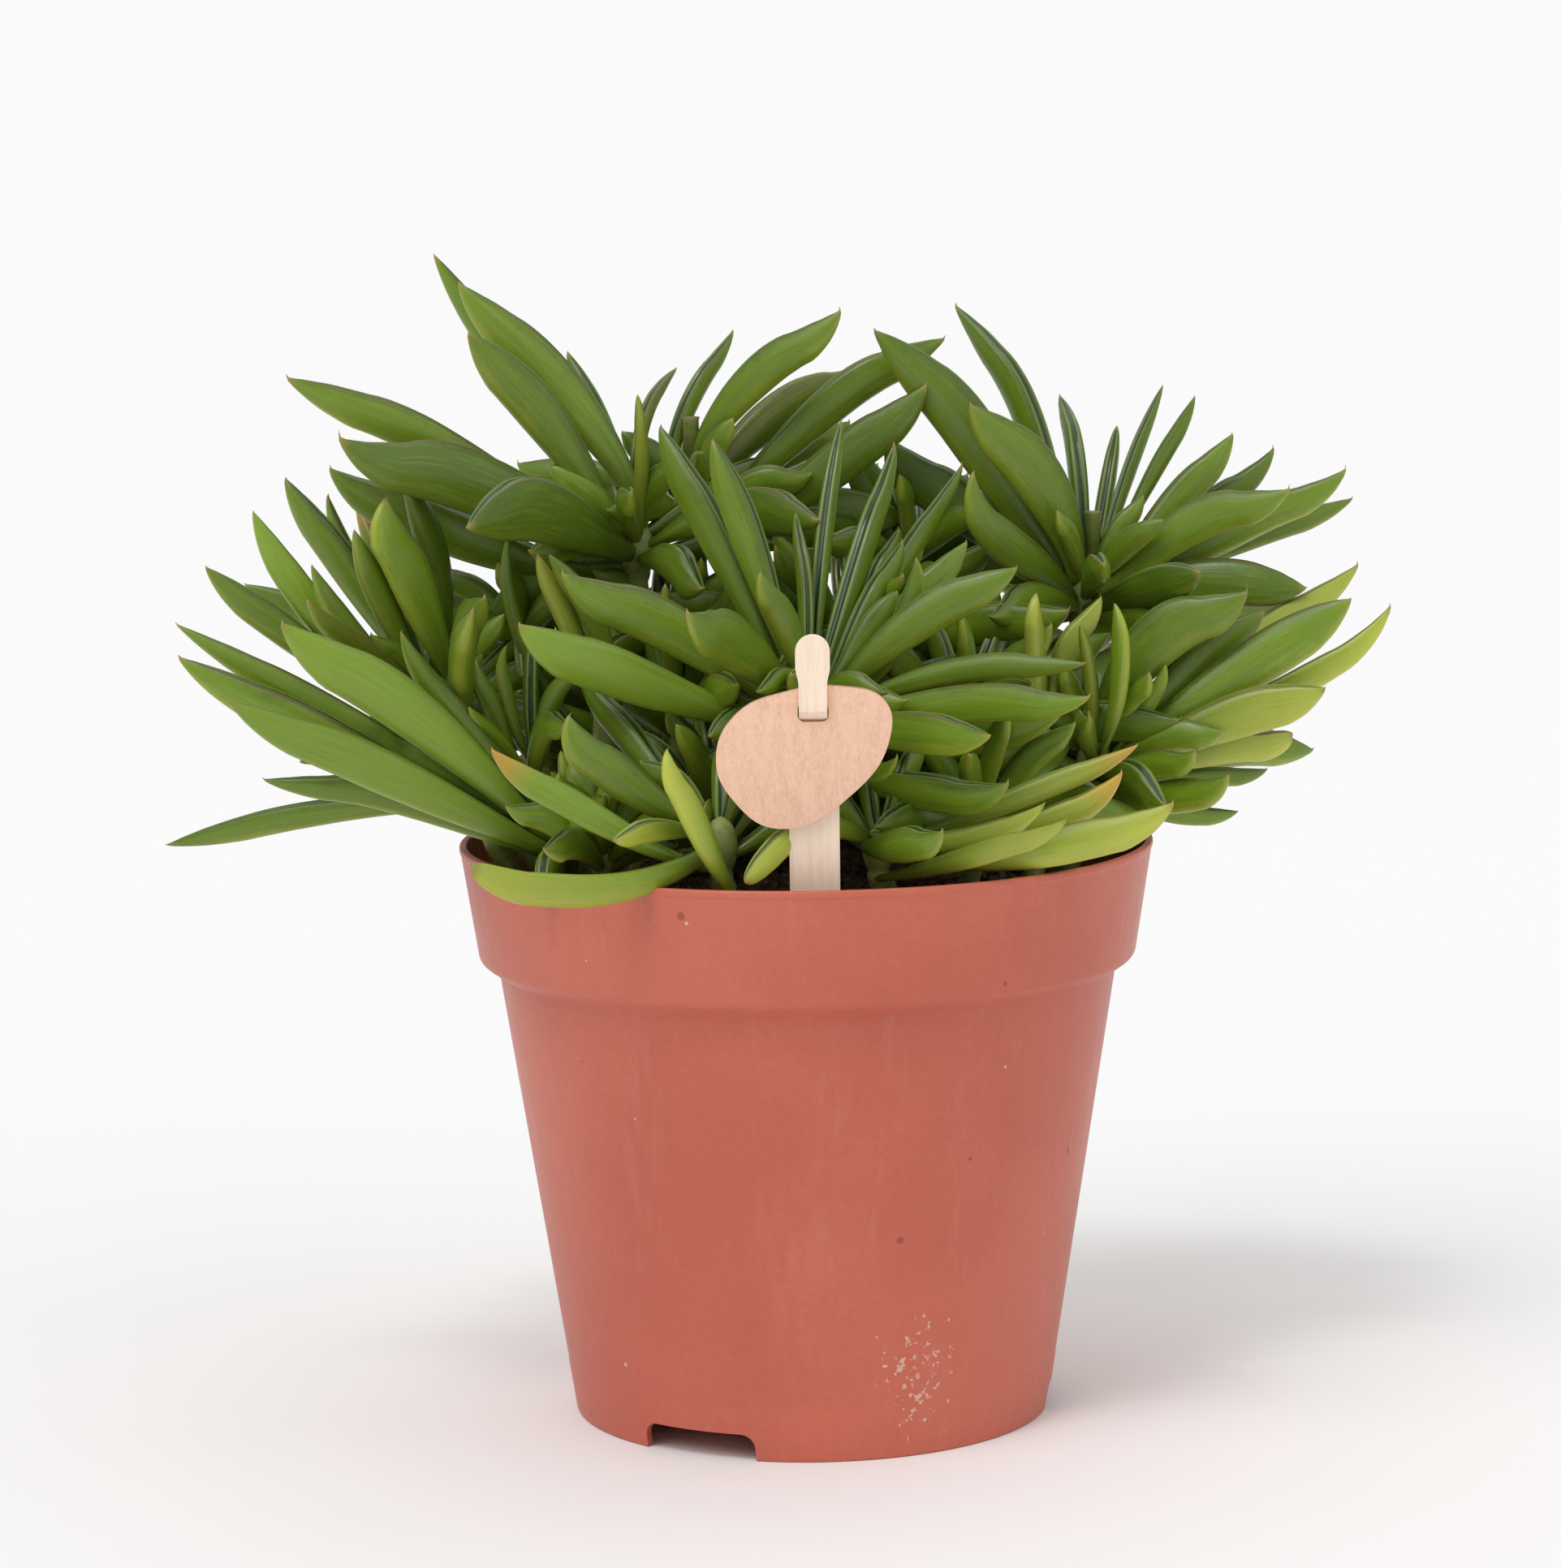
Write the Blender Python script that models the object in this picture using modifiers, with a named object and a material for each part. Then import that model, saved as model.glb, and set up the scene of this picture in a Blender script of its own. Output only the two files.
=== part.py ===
"""A peperomia in a 12 cm nursery pot, with a blank wooden tag on a plant stick.

Metres, +Z up. The pot's own axis stands at POT_AT, so that the middle of the whole
plant's footprint is over the origin and the pot's foot is at z = 0.
"""
import math

import bmesh
import bpy
from mathutils import Vector

MM = 0.001
GAP = 0.3  # clearance between neighbouring pieces

# Driving dimensions, in millimetres.
POT_AT = (3.0, 8.0)
POT_HEIGHT = 100.0
RIM_RADIUS = 60.0
RIM_LOW_RADIUS = 56.9
LEDGE_RADIUS = 53.1
LEDGE_Z = 77.0
FOOT_RADIUS = 41.1
WALL = 1.2
PLATE_Z = 4.9
POT_STEPS = 48

NOTCH_COUNT = 3
NOTCH_FIRST_ANGLE = 62.0
NOTCH_WIDTH = 21.0
NOTCH_HEIGHT = 4.7
DRAIN_COUNT = 6
DRAIN_RADIUS = 4.0
DRAIN_CIRCLE = 27.0

SOIL_EDGE_Z = 89.5
SOIL_CROWN_Z = 97.0

STEM_RADIUS = 2.1
STEM_DEPTH = 6.0
LEAF_THICKNESS = 3.3

# The stick and its tag lean together. Their heights are measured up from the stick's pivot.
STICK_AT = (1.4, -51.2, 100.0)
STICK_LEAN = 5.2
STICK_TOP = 41.2
STICK_FOOT = -42.0
STICK_HALF_WIDTH = 4.1
STICK_NECK_HALF = 2.3
STICK_HEAD_HALF = 2.8
STICK_THICKNESS = 1.0
STICK_FORWARD = -2.6
TAG_Y = -1.3
TAG_THICKNESS = 0.8
SLIT_LOW = 24.2
SLIT_HIGH = 30.1

# The tag's rounded outline, as corners that a smooth closed curve runs through.
TAG_CORNERS = [
    (5.0, 33.0),
    (11.6, 30.6),
    (12.5, 25.0),
    (6.2, 15.2),
    (-5.8, 9.6),
    (-13.1, 14.4),
    (-15.8, 21.5),
    (-12.5, 28.6),
    (-4.5, 32.2),
]

# Each shoot: where it leaves the soil, and the knob that its leaves sit on. Each leaf is its
# seat on the knob, its tip, how far its middle bows off the straight line, and its depth.
SHOOTS = {
    "back_left": {
        "foot": (-16, 14),
        "knob": (-29, 14, 149),
        "radius": 4.6,
        "half_height": 5.5,
        "leaves": [
            ((-32.5, 16, 153), (-64, 22, 200), -0.5, 5),
            ((-31, 14, 154.5), (-61, 12, 196), 5, 8),
            ((-32, 12, 153), (-59, 4, 187), 1.5, 8),
            ((-33.5, 13, 151), (-90, -2, 180), 2, 8.5),
            ((-32.5, 10.5, 149.5), (-78, -14, 171), -0.5, 9.5),
            ((-34, 14, 148.5), (-83, 11, 164), -2, 7),
        ],
    },
    "back_centre": {
        "foot": (-10, 28),
        "knob": (-19, 29, 153),
        "radius": 4.2,
        "half_height": 7,
        "leaves": [
            ((-16, 28, 158), (9, 20, 191), 5.5, 7),
            ((-20.5, 31, 159), (-12, 38, 186), 5, 4),
            ((-14.5, 30, 155.5), (26, 36, 185), 3, 7.5),
            ((-14.5, 28, 153.5), (22, 22, 176), -1, 6.5),
        ],
    },
    "back_right": {
        "foot": (34, 20),
        "knob": (50, 26, 138),
        "radius": 4.8,
        "half_height": 8,
        "leaves": [
            ((46, 26.5, 143.5), (13, 24, 187), 2.5, 8.5),
            ((48, 29.5, 143.5), (28, 44, 190), 5.5, 6.5),
            ((46.5, 23.5, 143), (28, 12, 173), 3, 8.5),
            ((50, 30.5, 142), (47, 50, 174), 5.5, 4.5),
            ((53.5, 27, 144), (70, 32, 175), -0.5, 4),
            ((54.5, 25, 142), (77, 30, 166), 1, 6),
            ((55, 27, 140.5), (86, 34, 164), -1, 5),
            ((54, 22.5, 139.5), (83, 12, 158), -0.5, 7),
            ((55, 25, 138.5), (97, 24, 160), -0.5, 5),
        ],
    },
    "left": {
        "foot": (-43, 2),
        "knob": (-62, 0, 122),
        "radius": 4.6,
        "half_height": 7,
        "leaves": [
            ((-65.5, 1.5, 127.5), (-89, 4, 164), -1.5, 6),
            ((-66, -1.5, 126.5), (-93, -12, 159), -3, 5.5),
            ((-66, -3, 122), (-102, -15, 150), -1.5, 6.5),
        ],
    },
    "low_left": {
        "foot": (-40, -26),
        "knob": (-49, -22, 106),
        "radius": 4.4,
        "half_height": 6,
        "leaves": [
            ((-53, -23.5, 109), (-87, -37, 143), 2, 9.5),
            ((-52.5, -19.5, 109), (-107, -11, 140), 1.5, 6),
            ((-52.5, -25, 107), (-96, -42, 130), 0, 8.5),
            ((-53.5, -20, 106), (-110, -6, 101), 4, 5.5),
        ],
    },
    "centre": {
        "foot": (0, -12),
        "knob": (1, -16, 122),
        "radius": 5,
        "half_height": 10,
        "leaves": [
            ((-4, -18.5, 122), (-47, -36, 142), -2, 8.5),
            ((-4, -17, 124.5), (-40, -28, 150), 1.5, 8.5),
            ((-3, -18.5, 127.5), (-19, -47, 145), 1, 9.5),
            ((-2.5, -13, 128), (-24, 0, 172), 0.5, 6.5),
            ((1.5, -12.5, 130), (7, 6, 172), 1, 4),
            ((2.5, -12, 128), (16, 8, 168), 1, 5.5),
            ((5.5, -18, 126), (36, -22, 149), 2.5, 7),
            ((5, -19.5, 122.5), (47, -44, 130), 0.5, 6.5),
            ((3.5, -20.5, 119.5), (33, -52, 117), -5, 6.5),
        ],
    },
    "right": {
        "foot": (44, 0),
        "knob": (50, 0, 112),
        "radius": 4.8,
        "half_height": 9,
        "leaves": [
            ((53, 1.5, 119), (77, -5, 143), 2, 9),
            ((55, -0.5, 115.5), (94, -4, 141), -0.5, 8.5),
            ((55, 1.5, 114), (104, 8, 139), -4.5, 6.5),
            ((54.5, -2.5, 113), (89, -10, 125), -1, 7),
        ],
    },
    "front_right": {
        "foot": (14, -34),
        "knob": (12, -37, 103),
        "radius": 4,
        "half_height": 4,
        "leaves": [
            ((16, -39, 103), (60, -50, 113), -4, 6.5),
            ((16, -36.5, 105), (55, -40, 121), -1, 4),
            ((13, -39.5, 107), (39, -51, 113), -4, 4),
        ],
    },
    "front_left": {
        "foot": (-13, -38),
        "knob": (-14, -43, 105),
        "radius": 4.2,
        "half_height": 5,
        "leaves": [
            ((-15, -47.5, 106), (-22, -54, 123), -1.5, 4),
            ((-17.5, -46, 105), (-53, -76, 107), -3.5, 4.5),
            ((-18.5, -44, 105.5), (-51, -50, 123), -3.5, 6),
            ((-17, -41, 108.5), (-38, -46, 128), -1, 7),
        ],
    },
}

# A leaf's shape along its length: how deep and how thick it is there, as shares of its most.
LEAF_SHARES = [0.0, 0.03, 0.12, 0.25, 0.4, 0.55, 0.7, 0.82, 0.92, 0.985, 1.0]
LEAF_DEPTHS = [0.2, 0.34, 0.5, 0.75, 0.95, 1.0, 0.95, 0.8, 0.5, 0.16, 0.03]
LEAF_THICKNESSES = [0.45, 0.6, 0.76, 0.92, 0.97, 1.0, 0.93, 0.84, 0.55, 0.18, 0.05]


def clear_scene():
    for obj in list(bpy.data.objects):
        bpy.data.objects.remove(obj, do_unlink=True)


def new_collection(name):
    collection = bpy.data.collections.new(name)
    bpy.context.scene.collection.children.link(collection)
    return collection


def new_material(name, colour, roughness):
    """A plain Principled material from an sRGB colour of 0 to 255."""
    material = bpy.data.materials.new(name)
    material.use_nodes = True
    shader = material.node_tree.nodes["Principled BSDF"]
    linear = [((c / 255 + 0.055) / 1.055) ** 2.4 for c in colour]
    shader.inputs["Base Color"].default_value = (*linear, 1.0)
    shader.inputs["Roughness"].default_value = roughness
    shader.inputs["Metallic"].default_value = 0.0
    material.diffuse_color = (*linear, 1.0)
    return material


def new_object(name, data, material, collection, parent=None):
    obj = bpy.data.objects.new(name, data)
    collection.objects.link(obj)
    if material is not None:
        data.materials.append(material)
    obj.parent = parent
    return obj


def turned(name, profile, steps, material, collection, parent):
    """A profile of (radius, z) in millimetres, from axis to axis, turned round Z."""
    mesh = bpy.data.meshes.new(name)
    points = [(r * MM, 0.0, z * MM) for r, z in profile]
    edges = [(i, i + 1) for i in range(len(points) - 1)]
    mesh.from_pydata(points, edges, [])
    obj = new_object(name, mesh, material, collection, parent)
    screw = obj.modifiers.new("turn", "SCREW")
    screw.axis = "Z"
    screw.steps = steps
    screw.render_steps = steps
    screw.use_merge_vertices = True
    screw.merge_threshold = 0.00001
    screw.use_smooth_shade = True
    return obj


def make_cutter(obj):
    obj.hide_render = True
    obj.display_type = "WIRE"
    return obj


def cut(obj, cutter, name):
    boolean = obj.modifiers.new(name, "BOOLEAN")
    boolean.operation = "DIFFERENCE"
    boolean.solver = "EXACT"
    boolean.object = cutter


def box_cutter(name, size, place, turn, round_by, collection, parent):
    """A box of size (x, y, z) millimetres whose edges along Y are rounded."""
    bm = bmesh.new()
    bmesh.ops.create_cube(bm, size=1.0)
    for vert in bm.verts:
        vert.co = Vector(c * s * MM for c, s in zip(vert.co, size))
    if round_by > 0:
        along_y = [e for e in bm.edges if abs((e.verts[0].co - e.verts[1].co).y) > 1e-6]
        bmesh.ops.bevel(
            bm, geom=along_y, offset=round_by * MM, segments=3, profile=0.5, affect="EDGES"
        )
    mesh = bpy.data.meshes.new(name)
    bm.to_mesh(mesh)
    bm.free()
    cutter = new_object(name, mesh, None, collection, parent)
    cutter.location = [p * MM for p in place]
    cutter.rotation_euler = (0.0, 0.0, turn)
    return make_cutter(cutter)


def round_cutter(name, radius, low, high, place, sides, collection, parent):
    """An upright cylinder between two heights, all in millimetres."""
    bm = bmesh.new()
    bmesh.ops.create_cone(
        bm,
        cap_ends=True,
        segments=sides,
        radius1=radius * MM,
        radius2=radius * MM,
        depth=(high - low) * MM,
    )
    mesh = bpy.data.meshes.new(name)
    bm.to_mesh(mesh)
    bm.free()
    cutter = new_object(name, mesh, None, collection, parent)
    cutter.location = (place[0] * MM, place[1] * MM, (low + high) / 2 * MM)
    return make_cutter(cutter)


def soil_height(x, y):
    edge = RIM_RADIUS - 3.0
    return SOIL_CROWN_Z - (SOIL_CROWN_Z - SOIL_EDGE_Z) * (x * x + y * y) / edge**2


def make_pot(collection, cutters, parent):
    """A thin moulded pot: floor plate, tapered wall, ledge, and a deep band under the rim."""
    material = new_material("pot_plastic", (192, 111, 91), 0.42)
    taper = (LEDGE_RADIUS - FOOT_RADIUS) / LEDGE_Z
    floor_top = PLATE_Z + WALL
    profile = [
        (0.0, floor_top),
        (FOOT_RADIUS + taper * floor_top - WALL, floor_top),
        (LEDGE_RADIUS - WALL, LEDGE_Z),
        (LEDGE_RADIUS - 0.7, LEDGE_Z + 1.2),
        (RIM_LOW_RADIUS - 1.8, LEDGE_Z + 1.4),
        (RIM_LOW_RADIUS - WALL, LEDGE_Z + 2.6),
        (RIM_RADIUS - WALL, POT_HEIGHT - 0.5),
        (RIM_RADIUS - 0.8, POT_HEIGHT),
        (RIM_RADIUS - 0.25, POT_HEIGHT),
        (RIM_RADIUS, POT_HEIGHT - 0.4),
        (RIM_RADIUS - 0.1, POT_HEIGHT - 1.2),
        (RIM_LOW_RADIUS, LEDGE_Z + 2.8),
        (RIM_LOW_RADIUS - 0.5, LEDGE_Z + 1.1),
        (RIM_LOW_RADIUS - 1.7, LEDGE_Z + 0.25),
        (LEDGE_RADIUS + 0.4, LEDGE_Z),
        (LEDGE_RADIUS, LEDGE_Z - 0.5),
        (FOOT_RADIUS + 0.05, 0.4),
        (FOOT_RADIUS - 0.3, 0.0),
        (FOOT_RADIUS - 1.5, 0.0),
        (FOOT_RADIUS + taper * PLATE_Z - WALL - 0.4, PLATE_Z),
        (0.0, PLATE_Z),
    ]
    pot = turned("pot", profile, POT_STEPS, material, collection, parent)
    for i in range(NOTCH_COUNT):
        angle = math.radians(NOTCH_FIRST_ANGLE - 90.0 + 360.0 * i / NOTCH_COUNT)
        place = (FOOT_RADIUS * math.sin(angle), -FOOT_RADIUS * math.cos(angle), 0.0)
        size = (NOTCH_WIDTH, 9.0, 2 * NOTCH_HEIGHT)
        notch = box_cutter(f"notch_{i + 1}", size, place, angle, 2.4, cutters, parent)
        cut(pot, notch, notch.name)
    for i in range(DRAIN_COUNT):
        angle = math.radians(15.0 + 360.0 * i / DRAIN_COUNT)
        place = (DRAIN_CIRCLE * math.cos(angle), DRAIN_CIRCLE * math.sin(angle))
        low, high = PLATE_Z - 1.0, PLATE_Z + WALL + 1.0
        drain = round_cutter(
            f"drain_{i + 1}", DRAIN_RADIUS, low, high, place, 12, cutters, parent
        )
        cut(pot, drain, drain.name)
    return pot


def make_soil(collection, cutters, parent, lean):
    """The root ball: it fills the pot inside its wall, and rises in a low mound."""
    material = new_material("soil", (46, 35, 26), 0.95)
    taper = (LEDGE_RADIUS - FOOT_RADIUS) / LEDGE_Z
    low = PLATE_Z + WALL + GAP
    inside = WALL + GAP + 0.1
    profile = [(r, soil_height(r, 0.0)) for r in (0.0, 14.0, 28.0, 42.0, 52.0)]
    profile += [
        (RIM_RADIUS - 3.8, SOIL_EDGE_Z),
        (RIM_LOW_RADIUS - inside, LEDGE_Z + 4.0),
        (RIM_LOW_RADIUS - 2.4, LEDGE_Z + 2.0),
        (LEDGE_RADIUS - 1.4, LEDGE_Z + 1.7),
        (LEDGE_RADIUS - inside - 0.1, LEDGE_Z - 0.5),
        (FOOT_RADIUS + taper * low - inside, low),
        (0.0, low),
    ]
    soil = turned("soil", profile, POT_STEPS, material, collection, parent)
    slot_size = (2 * STICK_HALF_WIDTH + 2 * GAP, STICK_THICKNESS + 2 * GAP, 60.0)
    slot_place = (0.0, 0.0, STICK_FOOT - GAP + 30.0)
    slot = box_cutter("stick_slot", slot_size, slot_place, 0.0, 0.0, cutters, lean)
    cut(soil, slot, slot.name)
    for name, shoot in SHOOTS.items():
        foot = shoot["foot"]
        low = soil_height(*foot) - STEM_DEPTH - GAP
        hole = round_cutter(
            "hole_" + name, STEM_RADIUS + 0.5, low, low + 20.0, foot, 12, cutters, parent
        )
        cut(soil, hole, hole.name)
    return soil


def stick_half_width(z):
    """Half the stick's width at a height: blade, shoulder, neck and round head."""
    head = STICK_TOP - z
    if head < STICK_HEAD_HALF:
        return max(0.35, math.sqrt(max(0.0, STICK_HEAD_HALF**2 - (STICK_HEAD_HALF - head) ** 2)))
    if z > 36.5:
        return STICK_HEAD_HALF
    if z > 32.0:
        return STICK_NECK_HALF + (STICK_HEAD_HALF - STICK_NECK_HALF) * (z - 32.0) / 4.5
    if z > 23.0:
        return STICK_NECK_HALF
    if z > 20.0:
        return STICK_NECK_HALF + (STICK_HALF_WIDTH - STICK_NECK_HALF) * (23.0 - z) / 3.0
    if z > STICK_FOOT + 7.0:
        return STICK_HALF_WIDTH
    return max(0.8, STICK_HALF_WIDTH * (z - STICK_FOOT + 1.2) / 8.2)


def stick_y(z):
    """The stick runs behind the tag, and bends forward through its slit."""
    share = min(1.0, max(0.0, (z - SLIT_LOW - 0.8) / (SLIT_HIGH - SLIT_LOW - 1.6)))
    share = share * share * (3.0 - 2.0 * share)
    return STICK_FORWARD * share


def make_stick(collection, parent):
    material = new_material("stick_wood", (238, 210, 186), 0.72)
    heights = [STICK_FOOT, STICK_FOOT + 7.0, -10.0, 20.0, 21.5, 23.0]
    heights += [SLIT_LOW + 0.8 + i * 0.86 for i in range(6)]
    heights += [32.0, 34.2, 36.5, STICK_TOP - STICK_HEAD_HALF]
    heights += [STICK_TOP - STICK_HEAD_HALF * (1 - math.sin(math.radians(a))) for a in (30, 55, 75, 90)]
    bm = bmesh.new()
    bmesh.ops.create_grid(bm, x_segments=2, y_segments=len(heights) - 1, size=0.5)
    rows = sorted({round(v.co.y, 5) for v in bm.verts})
    for vert in bm.verts:
        z = heights[rows.index(round(vert.co.y, 5))]
        across = 2.0 * vert.co.x
        vert.co = Vector((across * stick_half_width(z), stick_y(z), z)) * MM
    mesh = bpy.data.meshes.new("tag_stick")
    bm.to_mesh(mesh)
    bm.free()
    stick = new_object("tag_stick", mesh, material, collection, parent)
    solidify = stick.modifiers.new("thickness", "SOLIDIFY")
    solidify.thickness = STICK_THICKNESS * MM
    solidify.offset = 0.0
    return stick


def make_tag(collection, cutters, parent):
    """The tag: a flat rounded plate, with the slit that the stick threads through."""
    material = new_material("tag_wood", (222, 184, 160), 0.8)
    curve = bpy.data.curves.new("tag_outline", "CURVE")
    curve.dimensions = "2D"
    curve.fill_mode = "BOTH"
    curve.extrude = TAG_THICKNESS / 2 * MM
    curve.resolution_u = 4
    spline = curve.splines.new("BEZIER")
    spline.bezier_points.add(len(TAG_CORNERS) - 1)
    for point, (x, z) in zip(spline.bezier_points, TAG_CORNERS):
        point.co = (x * MM, z * MM, 0.0)
        point.handle_left_type = "AUTO"
        point.handle_right_type = "AUTO"
    spline.use_cyclic_u = True
    outline = new_object("tag_outline", curve, None, collection, parent)
    bpy.context.view_layer.update()
    graph = bpy.context.evaluated_depsgraph_get()
    mesh = bpy.data.meshes.new_from_object(outline.evaluated_get(graph))
    bpy.data.objects.remove(outline, do_unlink=True)
    bm = bmesh.new()
    bm.from_mesh(mesh)
    bmesh.ops.remove_doubles(bm, verts=bm.verts, dist=0.000005)
    bm.to_mesh(mesh)
    bm.free()
    tag = new_object("tag_plate", mesh, material, collection, parent)
    tag.rotation_euler = (math.radians(90.0), 0.0, 0.0)
    tag.location.y = TAG_Y * MM
    slit_size = (2 * STICK_NECK_HALF + 0.8, 6.0, SLIT_HIGH - SLIT_LOW)
    slit_place = (0.0, TAG_Y, (SLIT_LOW + SLIT_HIGH) / 2)
    slit = box_cutter("tag_slit", slit_size, slit_place, 0.0, 0.0, cutters, parent)
    cut(tag, slit, slit.name)
    return tag


def make_stem(name, shoot, material, collection, parent):
    """A stem that leans from the soil and swells into the knob that its leaves sit on."""
    foot, radius, half = shoot["foot"], shoot["radius"], shoot["half_height"]
    knob = Vector(shoot["knob"])
    ground = soil_height(*foot)
    start = Vector((foot[0], foot[1], ground - STEM_DEPTH))
    above = Vector((foot[0], foot[1], ground + 2.0))
    under = knob - Vector((0.0, 0.0, half * 0.95))
    lean = above.lerp(under, 0.5) + Vector((0.0, 0.0, 1.0))
    path = [(start, 1.0), (above, 1.0), (lean, 1.0), (under, 1.0)]
    for share in (-0.75, -0.35, 0.05, 0.45, 0.75, 0.93):
        swell = radius * math.sqrt(1.0 - share * share) / STEM_RADIUS
        path.append((knob + Vector((0.0, 0.0, half * share)), max(swell, 0.5)))
    curve = bpy.data.curves.new("stem_" + name, "CURVE")
    curve.dimensions = "3D"
    curve.bevel_depth = STEM_RADIUS * MM
    curve.bevel_resolution = 2
    curve.use_fill_caps = True
    spline = curve.splines.new("POLY")
    spline.points.add(len(path) - 1)
    for point, (place, swell) in zip(spline.points, path):
        point.co = (*(place * MM), 1.0)
        point.radius = swell
    return new_object("stem_" + name, curve, material, collection, parent)


def share_of(position, values):
    """A value along the leaf, read straight between the listed stations."""
    for i in range(len(LEAF_SHARES) - 1):
        low, high = LEAF_SHARES[i], LEAF_SHARES[i + 1]
        if position <= high:
            return values[i] + (values[i + 1] - values[i]) * (position - low) / (high - low)
    return values[-1]


def make_leaf(name, leaf, material, collection, parent):
    """A folded, pod-like leaf: a ball drawn out along a bowed midrib, deep and thin."""
    seat, tip, bow, depth = leaf
    seat, tip = Vector(seat), Vector(tip)
    chord = tip - seat
    side = Vector((-chord.y, chord.x, 0.0)).normalized()
    lift = chord.normalized().cross(side)
    bm = bmesh.new()
    bmesh.ops.create_uvsphere(bm, u_segments=8, v_segments=10, radius=1.0)
    for vert in bm.verts:
        share = min(1.0, max(0.0, (vert.co.z + 1.0) / 2.0))
        around = math.atan2(vert.co.y, vert.co.x)
        spread = 0.0 if abs(vert.co.z) > 0.9999 else 1.0
        middle = seat + chord * share + lift * (4.0 * bow * share * (1.0 - share))
        along = (chord + lift * (4.0 * bow * (1.0 - 2.0 * share))).normalized()
        across = along.cross(side)
        deep = depth / 2 * share_of(share, LEAF_DEPTHS) * spread
        thick = LEAF_THICKNESS / 2 * share_of(share, LEAF_THICKNESSES) * spread
        offset = side * (thick * math.cos(around)) + across * (deep * math.sin(around))
        vert.co = (middle + offset) * MM
    mesh = bpy.data.meshes.new(name)
    bm.to_mesh(mesh)
    bm.free()
    mesh.shade_smooth()
    return new_object(name, mesh, material, collection, parent)


def main():
    clear_scene()
    parts = new_collection("potted_peperomia")
    cutters = new_collection("cutters")
    root = bpy.data.objects.new("potted_peperomia", None)
    parts.objects.link(root)
    root.location = (POT_AT[0] * MM, POT_AT[1] * MM, 0.0)
    make_pot(parts, cutters, root)
    lean = bpy.data.objects.new("tag_lean", None)
    parts.objects.link(lean)
    lean.parent = root
    lean.location = [p * MM for p in STICK_AT]
    lean.rotation_euler = (math.radians(STICK_LEAN), 0.0, 0.0)
    make_soil(parts, cutters, root, lean)
    make_stick(parts, lean)
    make_tag(parts, cutters, lean)
    stem_green = new_material("stem_green", (104, 122, 52), 0.45)
    leaf_green = new_material("leaf_green", (98, 124, 44), 0.38)
    for name, shoot in SHOOTS.items():
        make_stem(name, shoot, stem_green, parts, root)
        for i, leaf in enumerate(shoot["leaves"]):
            make_leaf(f"leaf_{name}_{i + 1}", leaf, leaf_green, parts, root)


main()
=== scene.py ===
import math
import random

import bmesh
import bpy
from mathutils import Matrix, Vector


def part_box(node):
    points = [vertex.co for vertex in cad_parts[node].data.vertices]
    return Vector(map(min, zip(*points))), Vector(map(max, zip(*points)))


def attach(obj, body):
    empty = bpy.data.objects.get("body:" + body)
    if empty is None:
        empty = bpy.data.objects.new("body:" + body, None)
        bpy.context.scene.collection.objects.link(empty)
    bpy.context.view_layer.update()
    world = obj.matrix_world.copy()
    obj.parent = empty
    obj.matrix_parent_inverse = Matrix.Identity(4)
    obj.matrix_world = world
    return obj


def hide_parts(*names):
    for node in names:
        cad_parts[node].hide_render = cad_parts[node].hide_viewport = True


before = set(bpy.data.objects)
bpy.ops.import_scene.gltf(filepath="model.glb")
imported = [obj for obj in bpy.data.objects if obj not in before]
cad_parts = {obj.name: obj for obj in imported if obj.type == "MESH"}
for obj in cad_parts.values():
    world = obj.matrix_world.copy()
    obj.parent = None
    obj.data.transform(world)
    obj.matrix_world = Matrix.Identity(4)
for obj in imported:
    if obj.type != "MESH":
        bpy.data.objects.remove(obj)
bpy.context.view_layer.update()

mm = 0.001
potLow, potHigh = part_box("pot")
potAxis = Vector(((potLow.x + potHigh.x) / 2, (potLow.y + potHigh.y) / 2, 0.0))
print("frame loaded:", len(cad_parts), "nodes")


def put(tree, kind, sockets=None, **settings):
    node = tree.nodes.new(kind)
    for key, value in settings.items():
        setattr(node, key, value)
    for key, value in (sockets or {}).items():
        if isinstance(value, bpy.types.NodeSocket):
            tree.links.new(value, node.inputs[key])
        else:
            node.inputs[key].default_value = value
    return node


def calc(tree, operation, a, b=None, clamp=False):
    sockets = {0: a} if b is None else {0: a, 1: b}
    return put(tree, "ShaderNodeMath", sockets, operation=operation, use_clamp=clamp).outputs[0]


def times(tree, product, *others):
    for other in others:
        product = calc(tree, "MULTIPLY", product, other)
    return product


def vec(tree, operation, a, b=None):
    sockets = {0: a} if b is None else {0: a, 1: b}
    node = put(tree, "ShaderNodeVectorMath", sockets, operation=operation)
    return node.outputs["Value" if operation == "LENGTH" else 0]


def scaled(tree, vector, scale):
    return put(tree, "ShaderNodeVectorMath", {0: vector, "Scale": scale}, operation="SCALE").outputs[0]


def shaped(tree, value, points, lowest=None):
    node = put(tree, "ShaderNodeFloatCurve", {"Value": value})
    if lowest is not None:
        node.mapping.clip_min_y = lowest
    curve = node.mapping.curves[0]
    curve.points[0].location = points[0]
    curve.points[1].location = points[-1]
    for point in points[1:-1]:
        curve.points.new(*point)
    node.mapping.update()
    return node.outputs[0]


def ramp(tree, value, low, high, bottom=0.0, top=1.0):
    sockets = {"Value": value, "From Min": low, "From Max": high, "To Min": bottom, "To Max": top}
    return put(tree, "ShaderNodeMapRange", sockets, interpolation_type="SMOOTHSTEP").outputs[0]


def blend(tree, factor, first, second, mode="MIX"):
    sockets = {0: factor, 6: first, 7: second}
    return put(tree, "ShaderNodeMix", sockets, data_type="RGBA", blend_type=mode).outputs[2]


def fade(tree, factor, first, second):
    return put(tree, "ShaderNodeMix", {0: factor, 2: first, 3: second}, data_type="FLOAT").outputs[0]


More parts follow.
